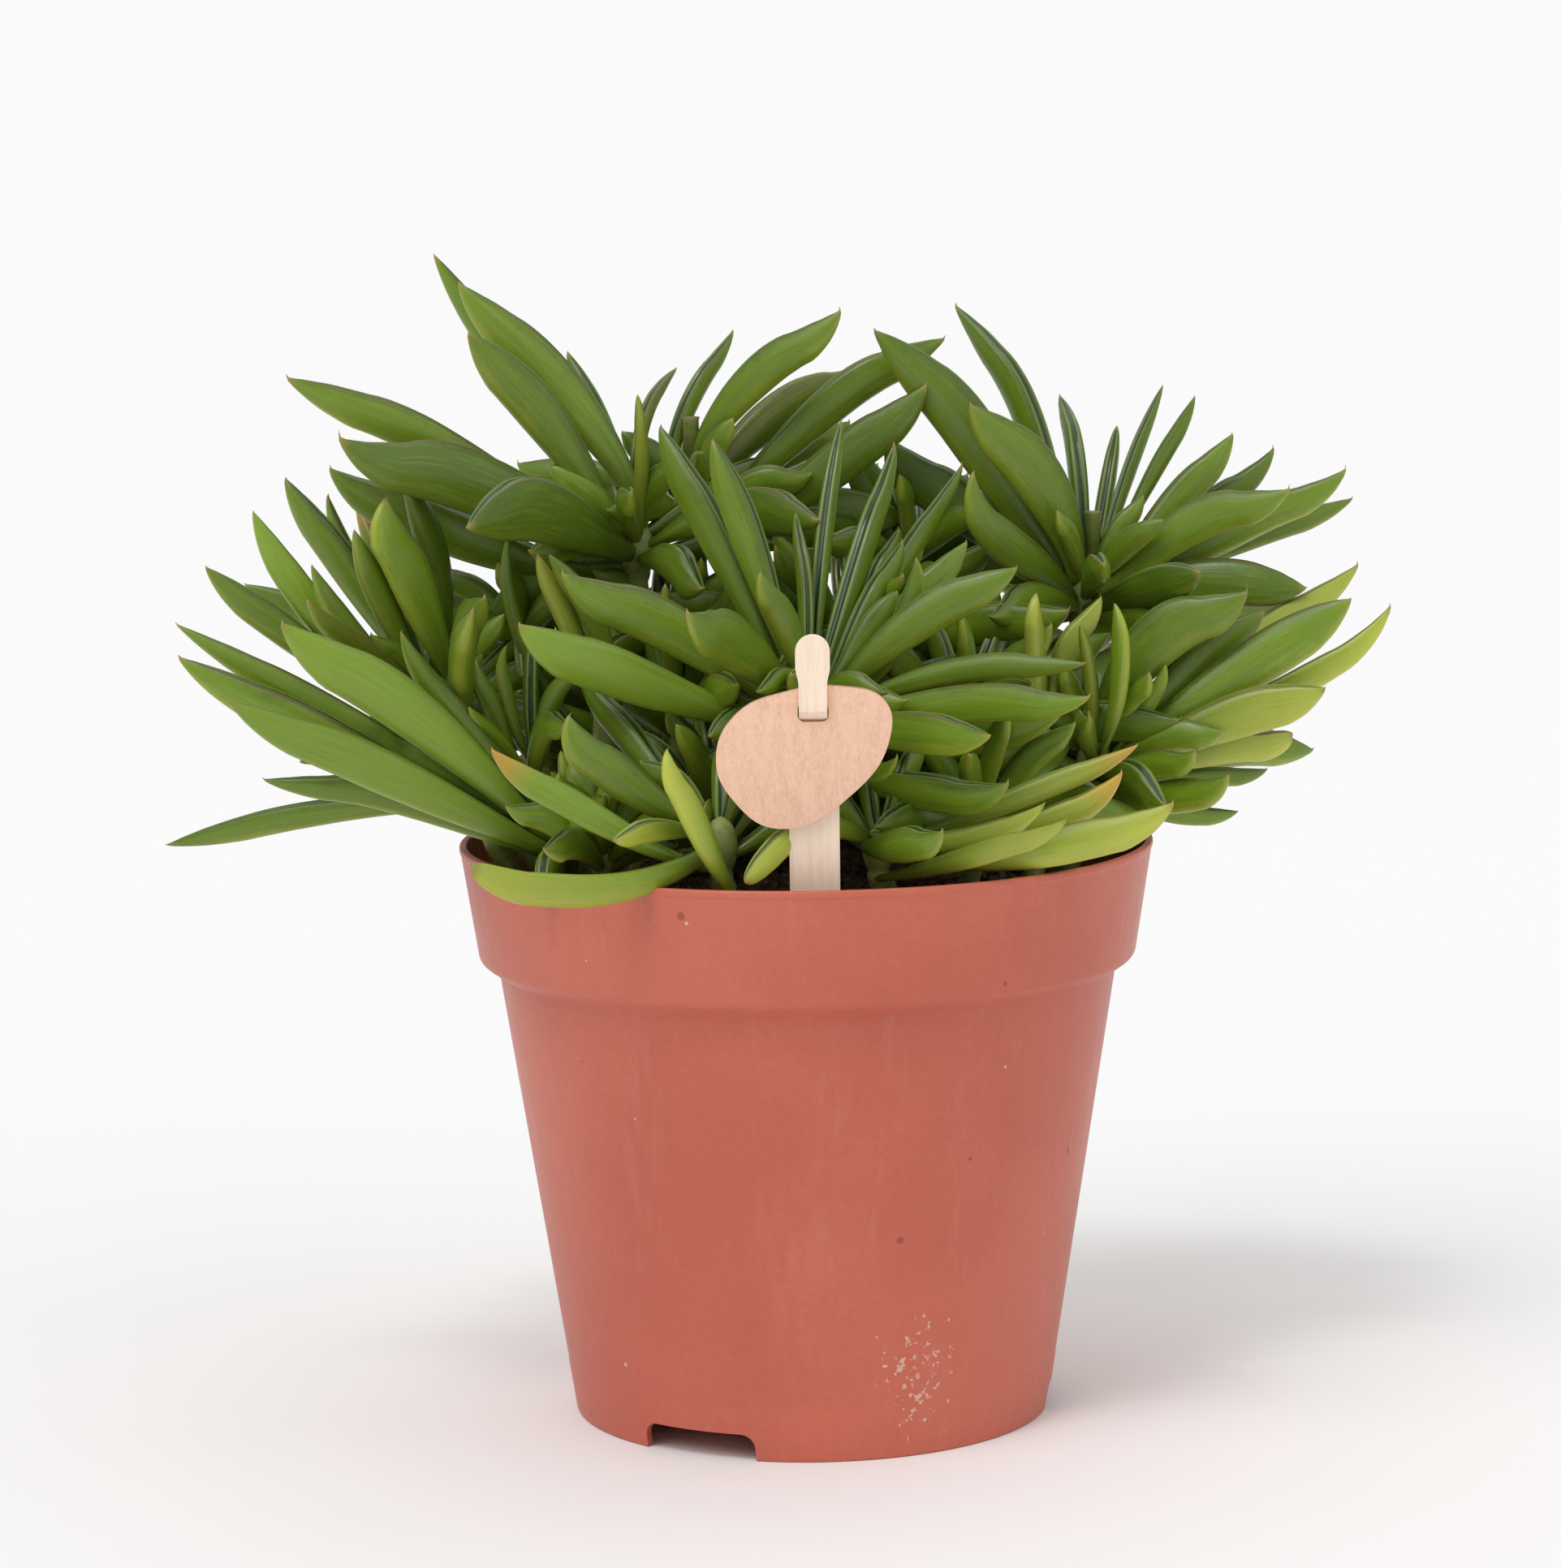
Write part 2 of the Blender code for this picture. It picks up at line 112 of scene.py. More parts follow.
def paint(red, green, blue):
    # a colour given as 0-255 screen values
    return (*[((c / 255 + 0.055) / 1.055) ** 2.4 for c in (red, green, blue)], 1.0)


def newGroup(name, kind, inputs, outputs):
    tree = bpy.data.node_groups.new(name, kind)
    for label, socketType, value in inputs:
        socket = tree.interface.new_socket(label, in_out="INPUT", socket_type=socketType)
        if value is not None:
            socket.default_value = value
    for label, socketType in outputs:
        tree.interface.new_socket(label, in_out="OUTPUT", socket_type=socketType)
    return tree, tree.nodes.new("NodeGroupInput"), tree.nodes.new("NodeGroupOutput")


def newMaterial(name, roughness, specular=0.5):
    material = bpy.data.materials.new(name)
    material.use_nodes = True
    tree = material.node_tree
    shader = tree.nodes["Principled BSDF"]
    shader.inputs["Roughness"].default_value = roughness
    shader.inputs["Specular IOR Level"].default_value = specular
    objectPlace = put(tree, "ShaderNodeTexCoord").outputs["Object"]
    return material, tree, shader, objectPlace


def readMark(tree, name):
    return put(tree, "ShaderNodeAttribute", attribute_name=name).outputs["Fac"]


def bumped(tree, shader, height, strength, distance):
    sockets = {"Height": height, "Strength": strength, "Distance": distance}
    tree.links.new(put(tree, "ShaderNodeBump", sockets).outputs[0], shader.inputs["Normal"])


def meshFrom(shape, name):
    mesh = bpy.data.meshes.new(name)
    shape.to_mesh(mesh)
    shape.free()
    return mesh


def newPiece(name, mesh, material=None):
    piece = bpy.data.objects.new(name, mesh)
    bpy.context.scene.collection.objects.link(piece)
    if material is not None:
        mesh.materials.append(material)
    return piece


def frozen(source, name):
    # the evaluated result as a plain mesh in a new object
    bpy.context.view_layer.update()
    graph = bpy.context.evaluated_depsgraph_get()
    result = source.evaluated_get(graph)
    mesh = bpy.data.meshes.new_from_object(result, preserve_all_data_layers=True, depsgraph=graph)
    mesh.name = name
    bpy.data.objects.remove(source, do_unlink=True)
    return newPiece(name, mesh)


def runNodes(host, tree, values):
    modifier = host.modifiers.new(tree.name, "NODES")
    modifier.node_group = tree
    for item in tree.interface.items_tree:
        if item.item_type == "SOCKET" and item.in_out == "INPUT" and item.name in values:
            modifier[item.identifier] = values[item.name]


def settle(piece, slotName, *nodes):
    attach(piece, "root")
    if nodes:
        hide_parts(*nodes)


def makeMottleGroup():
    # broad and fine cloudiness, for colour drift and fine relief
    tree, source, sink = newGroup(
        "mottle",
        "ShaderNodeTree",
        [
            ("Vector", "NodeSocketVector", None),
            ("Broad Scale", "NodeSocketFloat", 40.0),
            ("Fine Scale", "NodeSocketFloat", 400.0),
            ("Fine Share", "NodeSocketFloat", 0.35),
        ],
        [("Mask", "NodeSocketFloat"), ("Fine", "NodeSocketFloat")],
    )
    given = source.outputs
    broad = put(tree, "ShaderNodeTexNoise", {"Vector": given[0], "Scale": given[1], "Detail": 3.0})
    fine = put(tree, "ShaderNodeTexNoise", {"Vector": given[0], "Scale": given[2], "Detail": 4.0})
    tree.links.new(fade(tree, given[3], broad.outputs[0], fine.outputs[0]), sink.inputs[0])
    tree.links.new(fine.outputs[0], sink.inputs[1])
    return tree


def makeSpeckGroup():
    # sparse round specks of uneven size
    tree, source, sink = newGroup(
        "specks",
        "ShaderNodeTree",
        [
            ("Vector", "NodeSocketVector", None),
            ("Scale", "NodeSocketFloat", 300.0),
            ("Size", "NodeSocketFloat", 0.2),
            ("Cover", "NodeSocketFloat", 0.5),
        ],
        [("Mask", "NodeSocketFloat")],
    )
    given = source.outputs
    cells = put(tree, "ShaderNodeTexVoronoi", {"Vector": given[0], "Scale": given[1]})
    pick = put(tree, "ShaderNodeSeparateColor", {0: cells.outputs["Color"]})
    keep = calc(tree, "LESS_THAN", pick.outputs[0], given[3])
    reach = times(tree, given[2], calc(tree, "ADD", pick.outputs[1], 0.4))
    inside = calc(tree, "LESS_THAN", cells.outputs["Distance"], reach)
    tree.links.new(times(tree, keep, inside), sink.inputs[0])
    return tree


mottleGroup = makeMottleGroup()
speckGroup = makeSpeckGroup()


def mottle(tree, place, broadScale, fineScale, fineShare=0.35):
    sockets = {0: place, 1: broadScale, 2: fineScale, 3: fineShare}
    return put(tree, "ShaderNodeGroup", sockets, node_tree=mottleGroup).outputs[:2]


def specks(tree, place, scale, size, cover):
    sockets = {0: place, 1: scale, 2: size, 3: cover}
    return put(tree, "ShaderNodeGroup", sockets, node_tree=speckGroup).outputs[0]


def stretched(tree, place, scale):
    return put(tree, "ShaderNodeMapping", {"Vector": place, "Scale": scale}).outputs[0]


# the camera's place in millimetres, its turns in radians and its lens
view = dict(place=(3.0, -836.25, 224.31), pitch=0.13526, yaw=-0.00508, roll=-0.01267, lens=112.95)
studio = dict(
    floorColour=(0.92, 0.92, 0.92),
    floorShade=0.985,
    floorSize=60.0,
    skyColour=(1.0, 1.0, 1.0),
    skyStrength=0.46,
    skySeen=0.955,  # brightness of the backdrop behind the floor
    suns=[
        # name, side and height in degrees as seen from the front, softness, strength
        ("keyLight", -42.0, 48.0, 40.0, 0.9),
        ("sparkLight", -25.0, 62.0, 11.0, 0.5),
        ("fillLight", 50.0, 35.0, 60.0, 0.45),
        ("topLight", 160.0, 70.0, 60.0, 0.6),
    ],
)


def makeCamera():
    pitch, yaw, roll = view["pitch"], view["yaw"], view["roll"]
    ahead = Vector(
        (
            math.sin(yaw) * math.cos(pitch),
            math.cos(yaw) * math.cos(pitch),
            -math.sin(pitch),
        )
    )
    right = Vector((math.cos(yaw), -math.sin(yaw), 0.0))
    up = right.cross(ahead)
    rolledRight = right * math.cos(roll) + up * math.sin(roll)
    rolledUp = up * math.cos(roll) - right * math.sin(roll)
    camera = bpy.data.objects.new("camera", bpy.data.cameras.new("camera"))
    bpy.context.scene.collection.objects.link(camera)
    turn = Matrix((rolledRight, rolledUp, -ahead)).transposed().to_4x4()
    camera.matrix_world = Matrix.Translation(Vector(view["place"]) * mm) @ turn
    camera.data.lens = view["lens"]
    camera.data.clip_start = 0.01
    bpy.context.scene.camera = camera


def makeStudio():
    scene = bpy.context.scene
    scene.view_settings.view_transform = "Standard"
    world = bpy.data.worlds.new("softRoom")
    world.use_nodes = True
    sky = world.node_tree
    background = sky.nodes["Background"]
    background.inputs["Color"].default_value = (*studio["skyColour"], 1.0)
    background.inputs["Strength"].default_value = studio["skyStrength"]
    seen = put(sky, "ShaderNodeBackground", {"Strength": studio["skySeen"]})
    seen.inputs["Color"].default_value = (*studio["skyColour"], 1.0)
    ray = put(sky, "ShaderNodeLightPath").outputs["Is Camera Ray"]
    both = put(sky, "ShaderNodeMixShader", {0: ray, 1: background.outputs[0], 2: seen.outputs[0]})
    sky.links.new(both.outputs[0], sky.nodes["World Output"].inputs["Surface"])
    scene.world = world
    for name, side, height, softness, strength in studio["suns"]:
        lamp = bpy.data.objects.new(name, bpy.data.lights.new(name, "SUN"))
        lamp.data.energy = strength
        lamp.data.angle = math.radians(softness)
        side, height = math.radians(side), math.radians(height)
        towards = Vector(
            (math.sin(side) * math.cos(height), -math.cos(side) * math.cos(height), math.sin(height))
        )
        lamp.rotation_euler = (-towards).to_track_quat("-Z", "Y").to_euler()
        scene.collection.objects.link(lamp)
    shape = bmesh.new()
    bmesh.ops.create_grid(shape, x_segments=1, y_segments=1, size=studio["floorSize"] / 2)
    material, tree, shader, place = newMaterial("floorPaper", 0.8, 0.2)
    cloud = mottle(tree, place, 3.0, 60.0, 0.2)[0]
    pale = (*studio["floorColour"], 1.0)
    dimmer = (*[c * studio["floorShade"] for c in studio["floorColour"]], 1.0)
    tree.links.new(blend(tree, cloud, pale, dimmer), shader.inputs["Base Color"])
    floor = newPiece("floor", meshFrom(shape, "floor"), material)


makeCamera()
makeStudio()
print("camera and studio ready")


pot = dict(
    rimRadius=(potHigh.x - potLow.x) / 2 / mm,
    height=potHigh.z / mm,
    bandLowRadius=56.9,
    ledgeRadius=53.4,
    ledgeHeight=77.8,
    footRadius=41.4,
    wall=1.2,
    floorHeight=4.9,
    lip=0.14,
    creaseHeight=9.3,
    creaseDepth=0.07,
    steps=160,
    notchCount=3,
    notchAngle=-28.0,
    notchWidth=21.0,
    notchHeight=4.7,
    notchReach=9.0,
    notchRound=2.4,
    drainCount=6,
    drainAngle=15.0,
    drainRadius=4.0,
    drainCircle=27.0,
    colour=(202, 108, 86),
    paleColour=(204, 124, 103),
    deepColour=(190, 96, 76),
    speckColour=(120, 62, 50),
    limeColour=(226, 214, 200),
    limePatch=(20.5, -32.0, 14.0),  # middle of the lime patch, in millimetres
)
arcSteps = 5
wallTaper = (pot["ledgeRadius"] - pot["footRadius"]) / pot["ledgeHeight"]


def rounded(corners):
    # an outline of (radius, height, rounding) corners with each rounding drawn as an arc
    points = []
    for index, (r, z, rounding) in enumerate(corners):
        here = Vector((r, z))
        if rounding <= 0 or index in (0, len(corners) - 1):
            points.append(here)
            continue
        before = (Vector(corners[index - 1][:2]) - here).normalized()
        after = (Vector(corners[index + 1][:2]) - here).normalized()
        half = before.angle(after) / 2
        start, end = here + before * rounding / math.tan(half), here + after * rounding / math.tan(half)
        centre = here + (before + after).normalized() * rounding / math.sin(half)
        for step in range(arcSteps + 1):
            spoke = start.lerp(end, step / arcSteps) - centre
            points.append(centre + spoke.normalized() * rounding)
    return points


def potOutline():
    p = pot
    wall, foot, rim = p["wall"], p["footRadius"], p["rimRadius"]
    ledge, low = p["ledgeRadius"], p["bandLowRadius"]
    floorTop = p["floorHeight"] + wall
    crease = foot + wallTaper * p["creaseHeight"]
    corners = [
        (0.0, floorTop, 0),
        (foot + wallTaper * floorTop - wall, floorTop, 2.0),
        (ledge - wall, p["ledgeHeight"], 0.8),
        (low - wall, p["ledgeHeight"] + 1.4, 1.4),
        (rim - wall, p["height"], 0.35),
        (rim, p["height"], 0.4),
        (rim, p["height"] - 1.0, 0.15),
        (rim - p["lip"] - 0.1, p["height"] - 1.5, 0.3),
        (low, p["ledgeHeight"] + 2.4, 1.8),
        (ledge + 0.1, p["ledgeHeight"], 0.35),
        (crease + 0.02, p["creaseHeight"] + 0.5, 0),
        (crease - p["creaseDepth"], p["creaseHeight"], 0),
        (crease - 0.06, p["creaseHeight"] - 0.5, 0),
        (foot, 0.0, 0.5),
        (foot - 1.5, 0.0, 0.4),
        (foot + wallTaper * p["floorHeight"] - wall - 0.4, p["floorHeight"], 1.0),
        (0.0, p["floorHeight"], 0),
    ]
    return rounded(corners)


def turnedMesh(name, outline, steps):
    # an outline of (radius, height) in millimetres, turned round the pot's axis and closed
    shape = bmesh.new()
    rings = []
    for point in outline:
        if point[0] < 1e-6:
            rings.append([shape.verts.new((0.0, 0.0, point[1] * mm))])
            continue
        ring = []
        for step in range(steps):
            angle = 2 * math.pi * step / steps
            spoke = (math.cos(angle) * point[0] * mm, math.sin(angle) * point[0] * mm, point[1] * mm)
            ring.append(shape.verts.new(spoke))
        rings.append(ring)
    for first, second in zip(rings, rings[1:]):
        for step in range(steps):
            after = (step + 1) % steps
            if len(first) == 1:
                shape.faces.new((first[0], second[step], second[after]))
            elif len(second) == 1:
                shape.faces.new((first[step], second[0], first[after]))
            else:
                shape.faces.new((first[step], second[step], second[after], first[after]))
    bmesh.ops.recalc_face_normals(shape, faces=shape.faces)
    bmesh.ops.translate(shape, vec=potAxis, verts=shape.verts)
    return meshFrom(shape, name)


def cutterMesh(kind, size, place, turn=0.0, rounding=0.0):
    shape = bmesh.new()
    if kind == "box":
        bmesh.ops.create_cube(shape, size=1.0)
        bmesh.ops.scale(shape, vec=Vector(size) * mm, verts=shape.verts)
        if rounding > 0:
            edges = [e for e in shape.edges if abs((e.verts[0].co - e.verts[1].co).y) > 1e-6]
            bmesh.ops.bevel(
                shape, geom=edges, offset=rounding * mm, segments=6, profile=0.5, affect="EDGES"
            )
    else:
        bmesh.ops.create_cone(
            shape, cap_ends=True, segments=32, radius1=size[0] * mm, radius2=size[0] * mm, depth=size[2] * mm
        )
    bmesh.ops.rotate(shape, cent=(0, 0, 0), matrix=Matrix.Rotation(turn, 3, "Z"), verts=shape.verts)
    bmesh.ops.translate(shape, vec=Vector(place) * mm + potAxis, verts=shape.verts)
    return meshFrom(shape, "cutter")


def cutAway(host, cutterMeshes):
    cutters = []
    for mesh in cutterMeshes:
        cutter = newPiece("cutter", mesh)
        boolean = host.modifiers.new("cut", "BOOLEAN")
        boolean.operation = "DIFFERENCE"
        boolean.solver = "EXACT"
        boolean.object = cutter
        cutters.append(cutter)
    result = frozen(host, host.name + "_cut")
    for cutter in cutters:
        bpy.data.objects.remove(cutter, do_unlink=True)
    return result


def potMaterial():
    material, tree, shader, place = newMaterial("terracottaPlastic", 0.42, 0.35)
    cloud, fine = mottle(tree, place, 22.0, 900.0, 0.25)
    colour = blend(tree, ramp(tree, cloud, 0.35, 0.7), paint(*pot["deepColour"]), paint(*pot["colour"]))
    streaks = mottle(tree, stretched(tree, place, (1.0, 1.0, 0.12)), 90.0, 500.0, 0.5)[0]
    colour = blend(tree, ramp(tree, streaks, 0.5, 0.75, 0.0, 0.35), colour, paint(*pot["paleColour"]))
    # dark specks in the plastic, then lime left by water near the foot
    dark = specks(tree, place, 170.0, 0.1, 0.06)
    colour = blend(tree, times(tree, dark, 0.6), colour, paint(*pot["speckColour"]))
    middle = Vector(pot["limePatch"]) * mm
    away = vec(tree, "MULTIPLY", vec(tree, "SUBTRACT", place, middle), (1.0, 1.0, 0.62))
    reach = ramp(tree, vec(tree, "LENGTH", away), 0.002, 0.0105, 1.0, 0.0)
    grain = {"Vector": place, "Scale": 700.0, "Detail": 3.0, "Roughness": 0.7}
    crumbs = put(tree, "ShaderNodeTexNoise", grain).outputs[0]
    lime = calc(tree, "GREATER_THAN", calc(tree, "ADD", crumbs, times(tree, reach, 0.13)), 0.71)
    lime = times(tree, lime, calc(tree, "GREATER_THAN", reach, 0.02))
    dust = specks(tree, place, 420.0, 0.13, 0.012)
    marks = specks(tree, stretched(tree, place, (1.0, 1.0, 0.2)), 140.0, 0.09, 0.014)
    lime = calc(tree, "MAXIMUM", lime, calc(tree, "MAXIMUM", dust, marks))
    colour = blend(tree, times(tree, lime, 0.55), colour, paint(*pot["limeColour"]))
    tree.links.new(colour, shader.inputs["Base Color"])
    rough = ramp(tree, streaks, 0.3, 0.7, 0.36, 0.46)
    rough = calc(tree, "ADD", rough, times(tree, lime, 0.3))
    tree.links.new(rough, shader.inputs["Roughness"])
    relief = calc(tree, "ADD", times(tree, fine, 0.5), lime)
    bumped(tree, shader, relief, 0.12, 0.0002)
    return material


def makePot():
    p = pot
    shell = newPiece("nursery_pot", turnedMesh("nursery_pot", potOutline(), p["steps"]))
    cutters = []
    for index in range(p["notchCount"]):
        angle = math.radians(p["notchAngle"] + 360.0 * index / p["notchCount"])
        middle = (p["footRadius"] * math.sin(angle), -p["footRadius"] * math.cos(angle), 0.0)
        size = (p["notchWidth"], p["notchReach"], 2 * p["notchHeight"])
        cutters.append(cutterMesh("box", size, middle, angle, p["notchRound"]))
    for index in range(p["drainCount"]):
        angle = math.radians(p["drainAngle"] + 360.0 * index / p["drainCount"])
        middle = (
            p["drainCircle"] * math.cos(angle),
            p["drainCircle"] * math.sin(angle),
            p["floorHeight"] + p["wall"] / 2,
        )
        cutters.append(cutterMesh("round", (p["drainRadius"], 0, 4.0), middle))
    shell = cutAway(shell, cutters)
    shell.name = "nursery_pot"
    shell.data.shade_smooth()
    shell.data.set_sharp_from_angle(angle=math.radians(38))
    shell.data.materials.clear()
    shell.data.materials.append(potMaterial())
    settle(shell, "pot_plastic", "pot")


makePot()
print("pot turned and notched")

soil = dict(
    crown=97.0,
    edge=89.5,
    edgeRadius=57.0,
    rings=46,
    steps=150,
    roughness=1.3,
    scatterRadius=51.5,
    crumbDensity=520000.0,
    crumbLow=0.0005,
    crumbHigh=0.0018,
    chipDensity=42000.0,
    fibreDensity=26000.0,
    seed=7,
    topRadius=56.4,
    waveCount=26,
    darkColour=(30, 22, 16),
    paleColour=(74, 56, 42),
    looseDark=(38, 28, 20),
    loosePale=(112, 84, 60),
    gritColour=(150, 128, 100),
)


def soilHeight(x, y):
    return soil["crown"] - (soil["crown"] - soil["edge"]) * (x * x + y * y) / soil["edgeRadius"] ** 2


def compostMaterial(name, dark, pale):
    material, tree, shader, place = newMaterial(name, 0.9, 0.3)
    cloud, fine = mottle(tree, place, 130.0, 900.0, 0.5)
    colour = blend(tree, ramp(tree, cloud, 0.36, 0.68), paint(*dark), paint(*pale))
    grit = specks(tree, place, 320.0, 0.16, 0.05)
    colour = blend(tree, times(tree, grit, 0.5), colour, paint(*soil["gritColour"]))
    tree.links.new(colour, shader.inputs["Base Color"])
    tree.links.new(ramp(tree, fine, 0.3, 0.7, 0.72, 0.98), shader.inputs["Roughness"])
    bumped(tree, shader, cloud, 0.6, 0.001)
    return material


def crumbTree():
    # crumbs, bark chips and root fibres scattered over a surface
    tree, source, sink = newGroup(
        "compostScatter",
        "GeometryNodeTree",
        [
            ("Geometry", "NodeSocketGeometry", None),
            ("Crumb Density", "NodeSocketFloat", 1000.0),
            ("Chip Density", "NodeSocketFloat", 100.0),
            ("Fibre Density", "NodeSocketFloat", 100.0),
            ("Smallest", "NodeSocketFloat", 0.0005),
            ("Largest", "NodeSocketFloat", 0.002),
            ("Seed", "NodeSocketInt", 0),
            ("Compost", "NodeSocketMaterial", None),
        ],
        [("Geometry", "NodeSocketGeometry")],
    )
    given = source.outputs

    def spread(density, shape, low, high, seedShift, flat):
        seed = calc(tree, "ADD", given["Seed"], float(seedShift))
        points = put(
            tree,
            "GeometryNodeDistributePointsOnFaces",
            {"Mesh": given["Geometry"], "Density": density, "Seed": seed},
        )
        turn = put(
            tree,
            "FunctionNodeRandomValue",
            {0: (-flat, -flat, 0.0), 1: (flat, flat, 6.283), "Seed": seed},
            data_type="FLOAT_VECTOR",
        )
        size = put(tree, "FunctionNodeRandomValue", {2: low, 3: high, "Seed": seed}, data_type="FLOAT")
        return put(
            tree,
            "GeometryNodeInstanceOnPoints",
            {
                "Points": points.outputs["Points"],
                "Instance": shape,
                "Rotation": turn.outputs[0],
                "Scale": size.outputs[1],
            },
        ).outputs[0]

    def lumpy(mesh, stretch, amount):
        place = put(tree, "GeometryNodeInputPosition").outputs[0]
        noise = put(tree, "ShaderNodeTexNoise", {"Vector": place, "Scale": 1.7, "Detail": 1.0})
        cloud = noise.outputs["Color"]
        shift = scaled(tree, vec(tree, "SUBTRACT", cloud, (0.5, 0.5, 0.5)), amount)
        moved = vec(tree, "MULTIPLY", vec(tree, "ADD", place, shift), stretch)
        return put(tree, "GeometryNodeSetPosition", {"Geometry": mesh, "Position": moved}).outputs[0]

    ball = put(tree, "GeometryNodeMeshIcoSphere", {"Radius": 1.0, "Subdivisions": 1}).outputs[0]
    block = put(tree, "GeometryNodeMeshCube", {"Size": (2.0, 1.2, 0.7)}).outputs[0]
    arc = put(
        tree,
        "GeometryNodeCurveQuadraticBezier",
        {"Resolution": 5, "Start": (-4.0, 0.0, 0.2), "Middle": (0.0, 2.2, 1.4), "End": (4.0, -0.6, 0.0)},
    ).outputs[0]
    thread = put(tree, "GeometryNodeCurvePrimitiveCircle", {"Resolution": 4, "Radius": 0.13}).outputs[0]
    fibre = put(
        tree, "GeometryNodeCurveToMesh", {"Curve": arc, "Profile Curve": thread, "Fill Caps": True}
    ).outputs[0]
    crumb = lumpy(ball, (1.0, 0.85, 0.7), 1.1)
    chip = lumpy(block, (1.0, 1.0, 1.0), 1.3)
    crumbs = spread(given["Crumb Density"], crumb, given["Smallest"], given["Largest"], 0, 1.2)
    chips = spread(given["Chip Density"], chip, 0.0012, 0.0026, 11, 0.5)
    fibres = spread(given["Fibre Density"], fibre, 0.0008, 0.0017, 23, 0.35)
    joined = put(tree, "GeometryNodeJoinGeometry")
    for part in (crumbs, chips, fibres):
        tree.links.new(part, joined.inputs[0])
    real = put(tree, "GeometryNodeRealizeInstances", {0: joined.outputs[0]})
    finished = put(
        tree, "GeometryNodeSetMaterial", {"Geometry": real.outputs[0], "Material": given["Compost"]}
    )
    tree.links.new(finished.outputs[0], sink.inputs[0])
    return tree


def makeSoil():
    p, s = pot, soil
    wall = p["wall"] + 0.25
    outline = []
    for ring in range(s["rings"]):
        radius = s["topRadius"] * ring / (s["rings"] - 1)
        outline.append((radius, soilHeight(radius, 0.0)))
    low = p["floorHeight"] + p["wall"] + 0.2
    outline += [
        (p["bandLowRadius"] - wall, p["ledgeHeight"] + 4.0),
        (p["ledgeRadius"] - wall, p["ledgeHeight"] - 0.5),
        (p["footRadius"] + wallTaper * low - wall, low),
        (0.0, low),
    ]
    mesh = turnedMesh("soil_mound", outline, s["steps"])
    clouds = random.Random(s["seed"])
    waves = [
        (clouds.uniform(0.15, 1.3), clouds.uniform(0, math.tau), clouds.uniform(0, math.tau))
        for _ in range(s["waveCount"])
    ]
    for vertex in mesh.vertices:
        x, y = (vertex.co.x - potAxis.x) / mm, (vertex.co.y - potAxis.y) / mm
        if vertex.co.z / mm < s["edge"] - 1.0 or math.hypot(x, y) > s["topRadius"] - 0.1:
            continue
        lift = sum(math.sin(f * (x * math.cos(a) + y * math.sin(a)) + b) / (1 + f) for f, a, b in waves)
        vertex.co.z += lift * s["roughness"] * 0.16 * mm
    mesh.shade_smooth()
    mesh.materials.append(compostMaterial("compost", s["darkColour"], s["paleColour"]))
    mound = newPiece("soil_mound", mesh)
    settle(mound, "soil", "soil")
    # the top alone carries the loose crumbs
    top = mesh.copy()
    shape = bmesh.new()
    shape.from_mesh(top)
    hidden = [
        f
        for f in shape.faces
        if f.calc_center_median().z / mm < s["edge"] - 2.0
        or (f.calc_center_median() - potAxis).xy.length / mm > s["scatterRadius"]
    ]
    bmesh.ops.delete(shape, geom=hidden, context="FACES")
    shape.to_mesh(top)
    shape.free()
    host = newPiece("soil_top", top)
    values = {
        "Crumb Density": s["crumbDensity"],
        "Chip Density": s["chipDensity"],
        "Fibre Density": s["fibreDensity"],
        "Smallest": s["crumbLow"],
        "Largest": s["crumbHigh"],
        "Seed": s["seed"],
        "Compost": compostMaterial("looseCompost", s["looseDark"], s["loosePale"]),
    }
    runNodes(host, crumbTree(), values)
    settle(frozen(host, "soil_crumbs"), "soil")


makeSoil()
print("soil filled and scattered")

tagPlace = dict(at=(1.4, -51.2, 100.0), lean=5.2)
stick = dict(
    top=41.8,
    foot=-42.0,
    halfWidth=4.1,
    neckHalf=2.3,
    headHalf=2.8,
    neckTop=33.6,
    neckRise=3.0,
    neckFoot=25.0,
    shoulder=3.0,
    pointLength=7.0,
    columns=9,
    rows=110,
    thickness=1.0,
    forward=-2.6,
    slitLow=27.3,
    slitHigh=30.4,
    edgeRound=0.22,
    colour=(255, 234, 212),
    grainColour=(246, 216, 190),
)
tag = dict(
    back=-1.3,
    thickness=1.1,
    edgeRound=0.22,
    corners=[
        (5.0, 33.0), (11.6, 30.6), (12.5, 25.0), (6.2, 15.2), (-5.8, 9.6),
        (-13.1, 14.4), (-15.8, 21.5), (-12.5, 28.6), (-4.5, 32.2),
    ],
    colour=(244, 200, 172),
    fibreColour=(230, 182, 154),
    paleColour=(252, 220, 196),
    cutColour=(186, 134, 106),
    dotColour=(170, 120, 96),
    slitRound=1.1,
)
leanTurn = Matrix.Translation(Vector(tagPlace["at"]) * mm + potAxis) @ Matrix.Rotation(
    math.radians(tagPlace["lean"]), 4, "X"
)


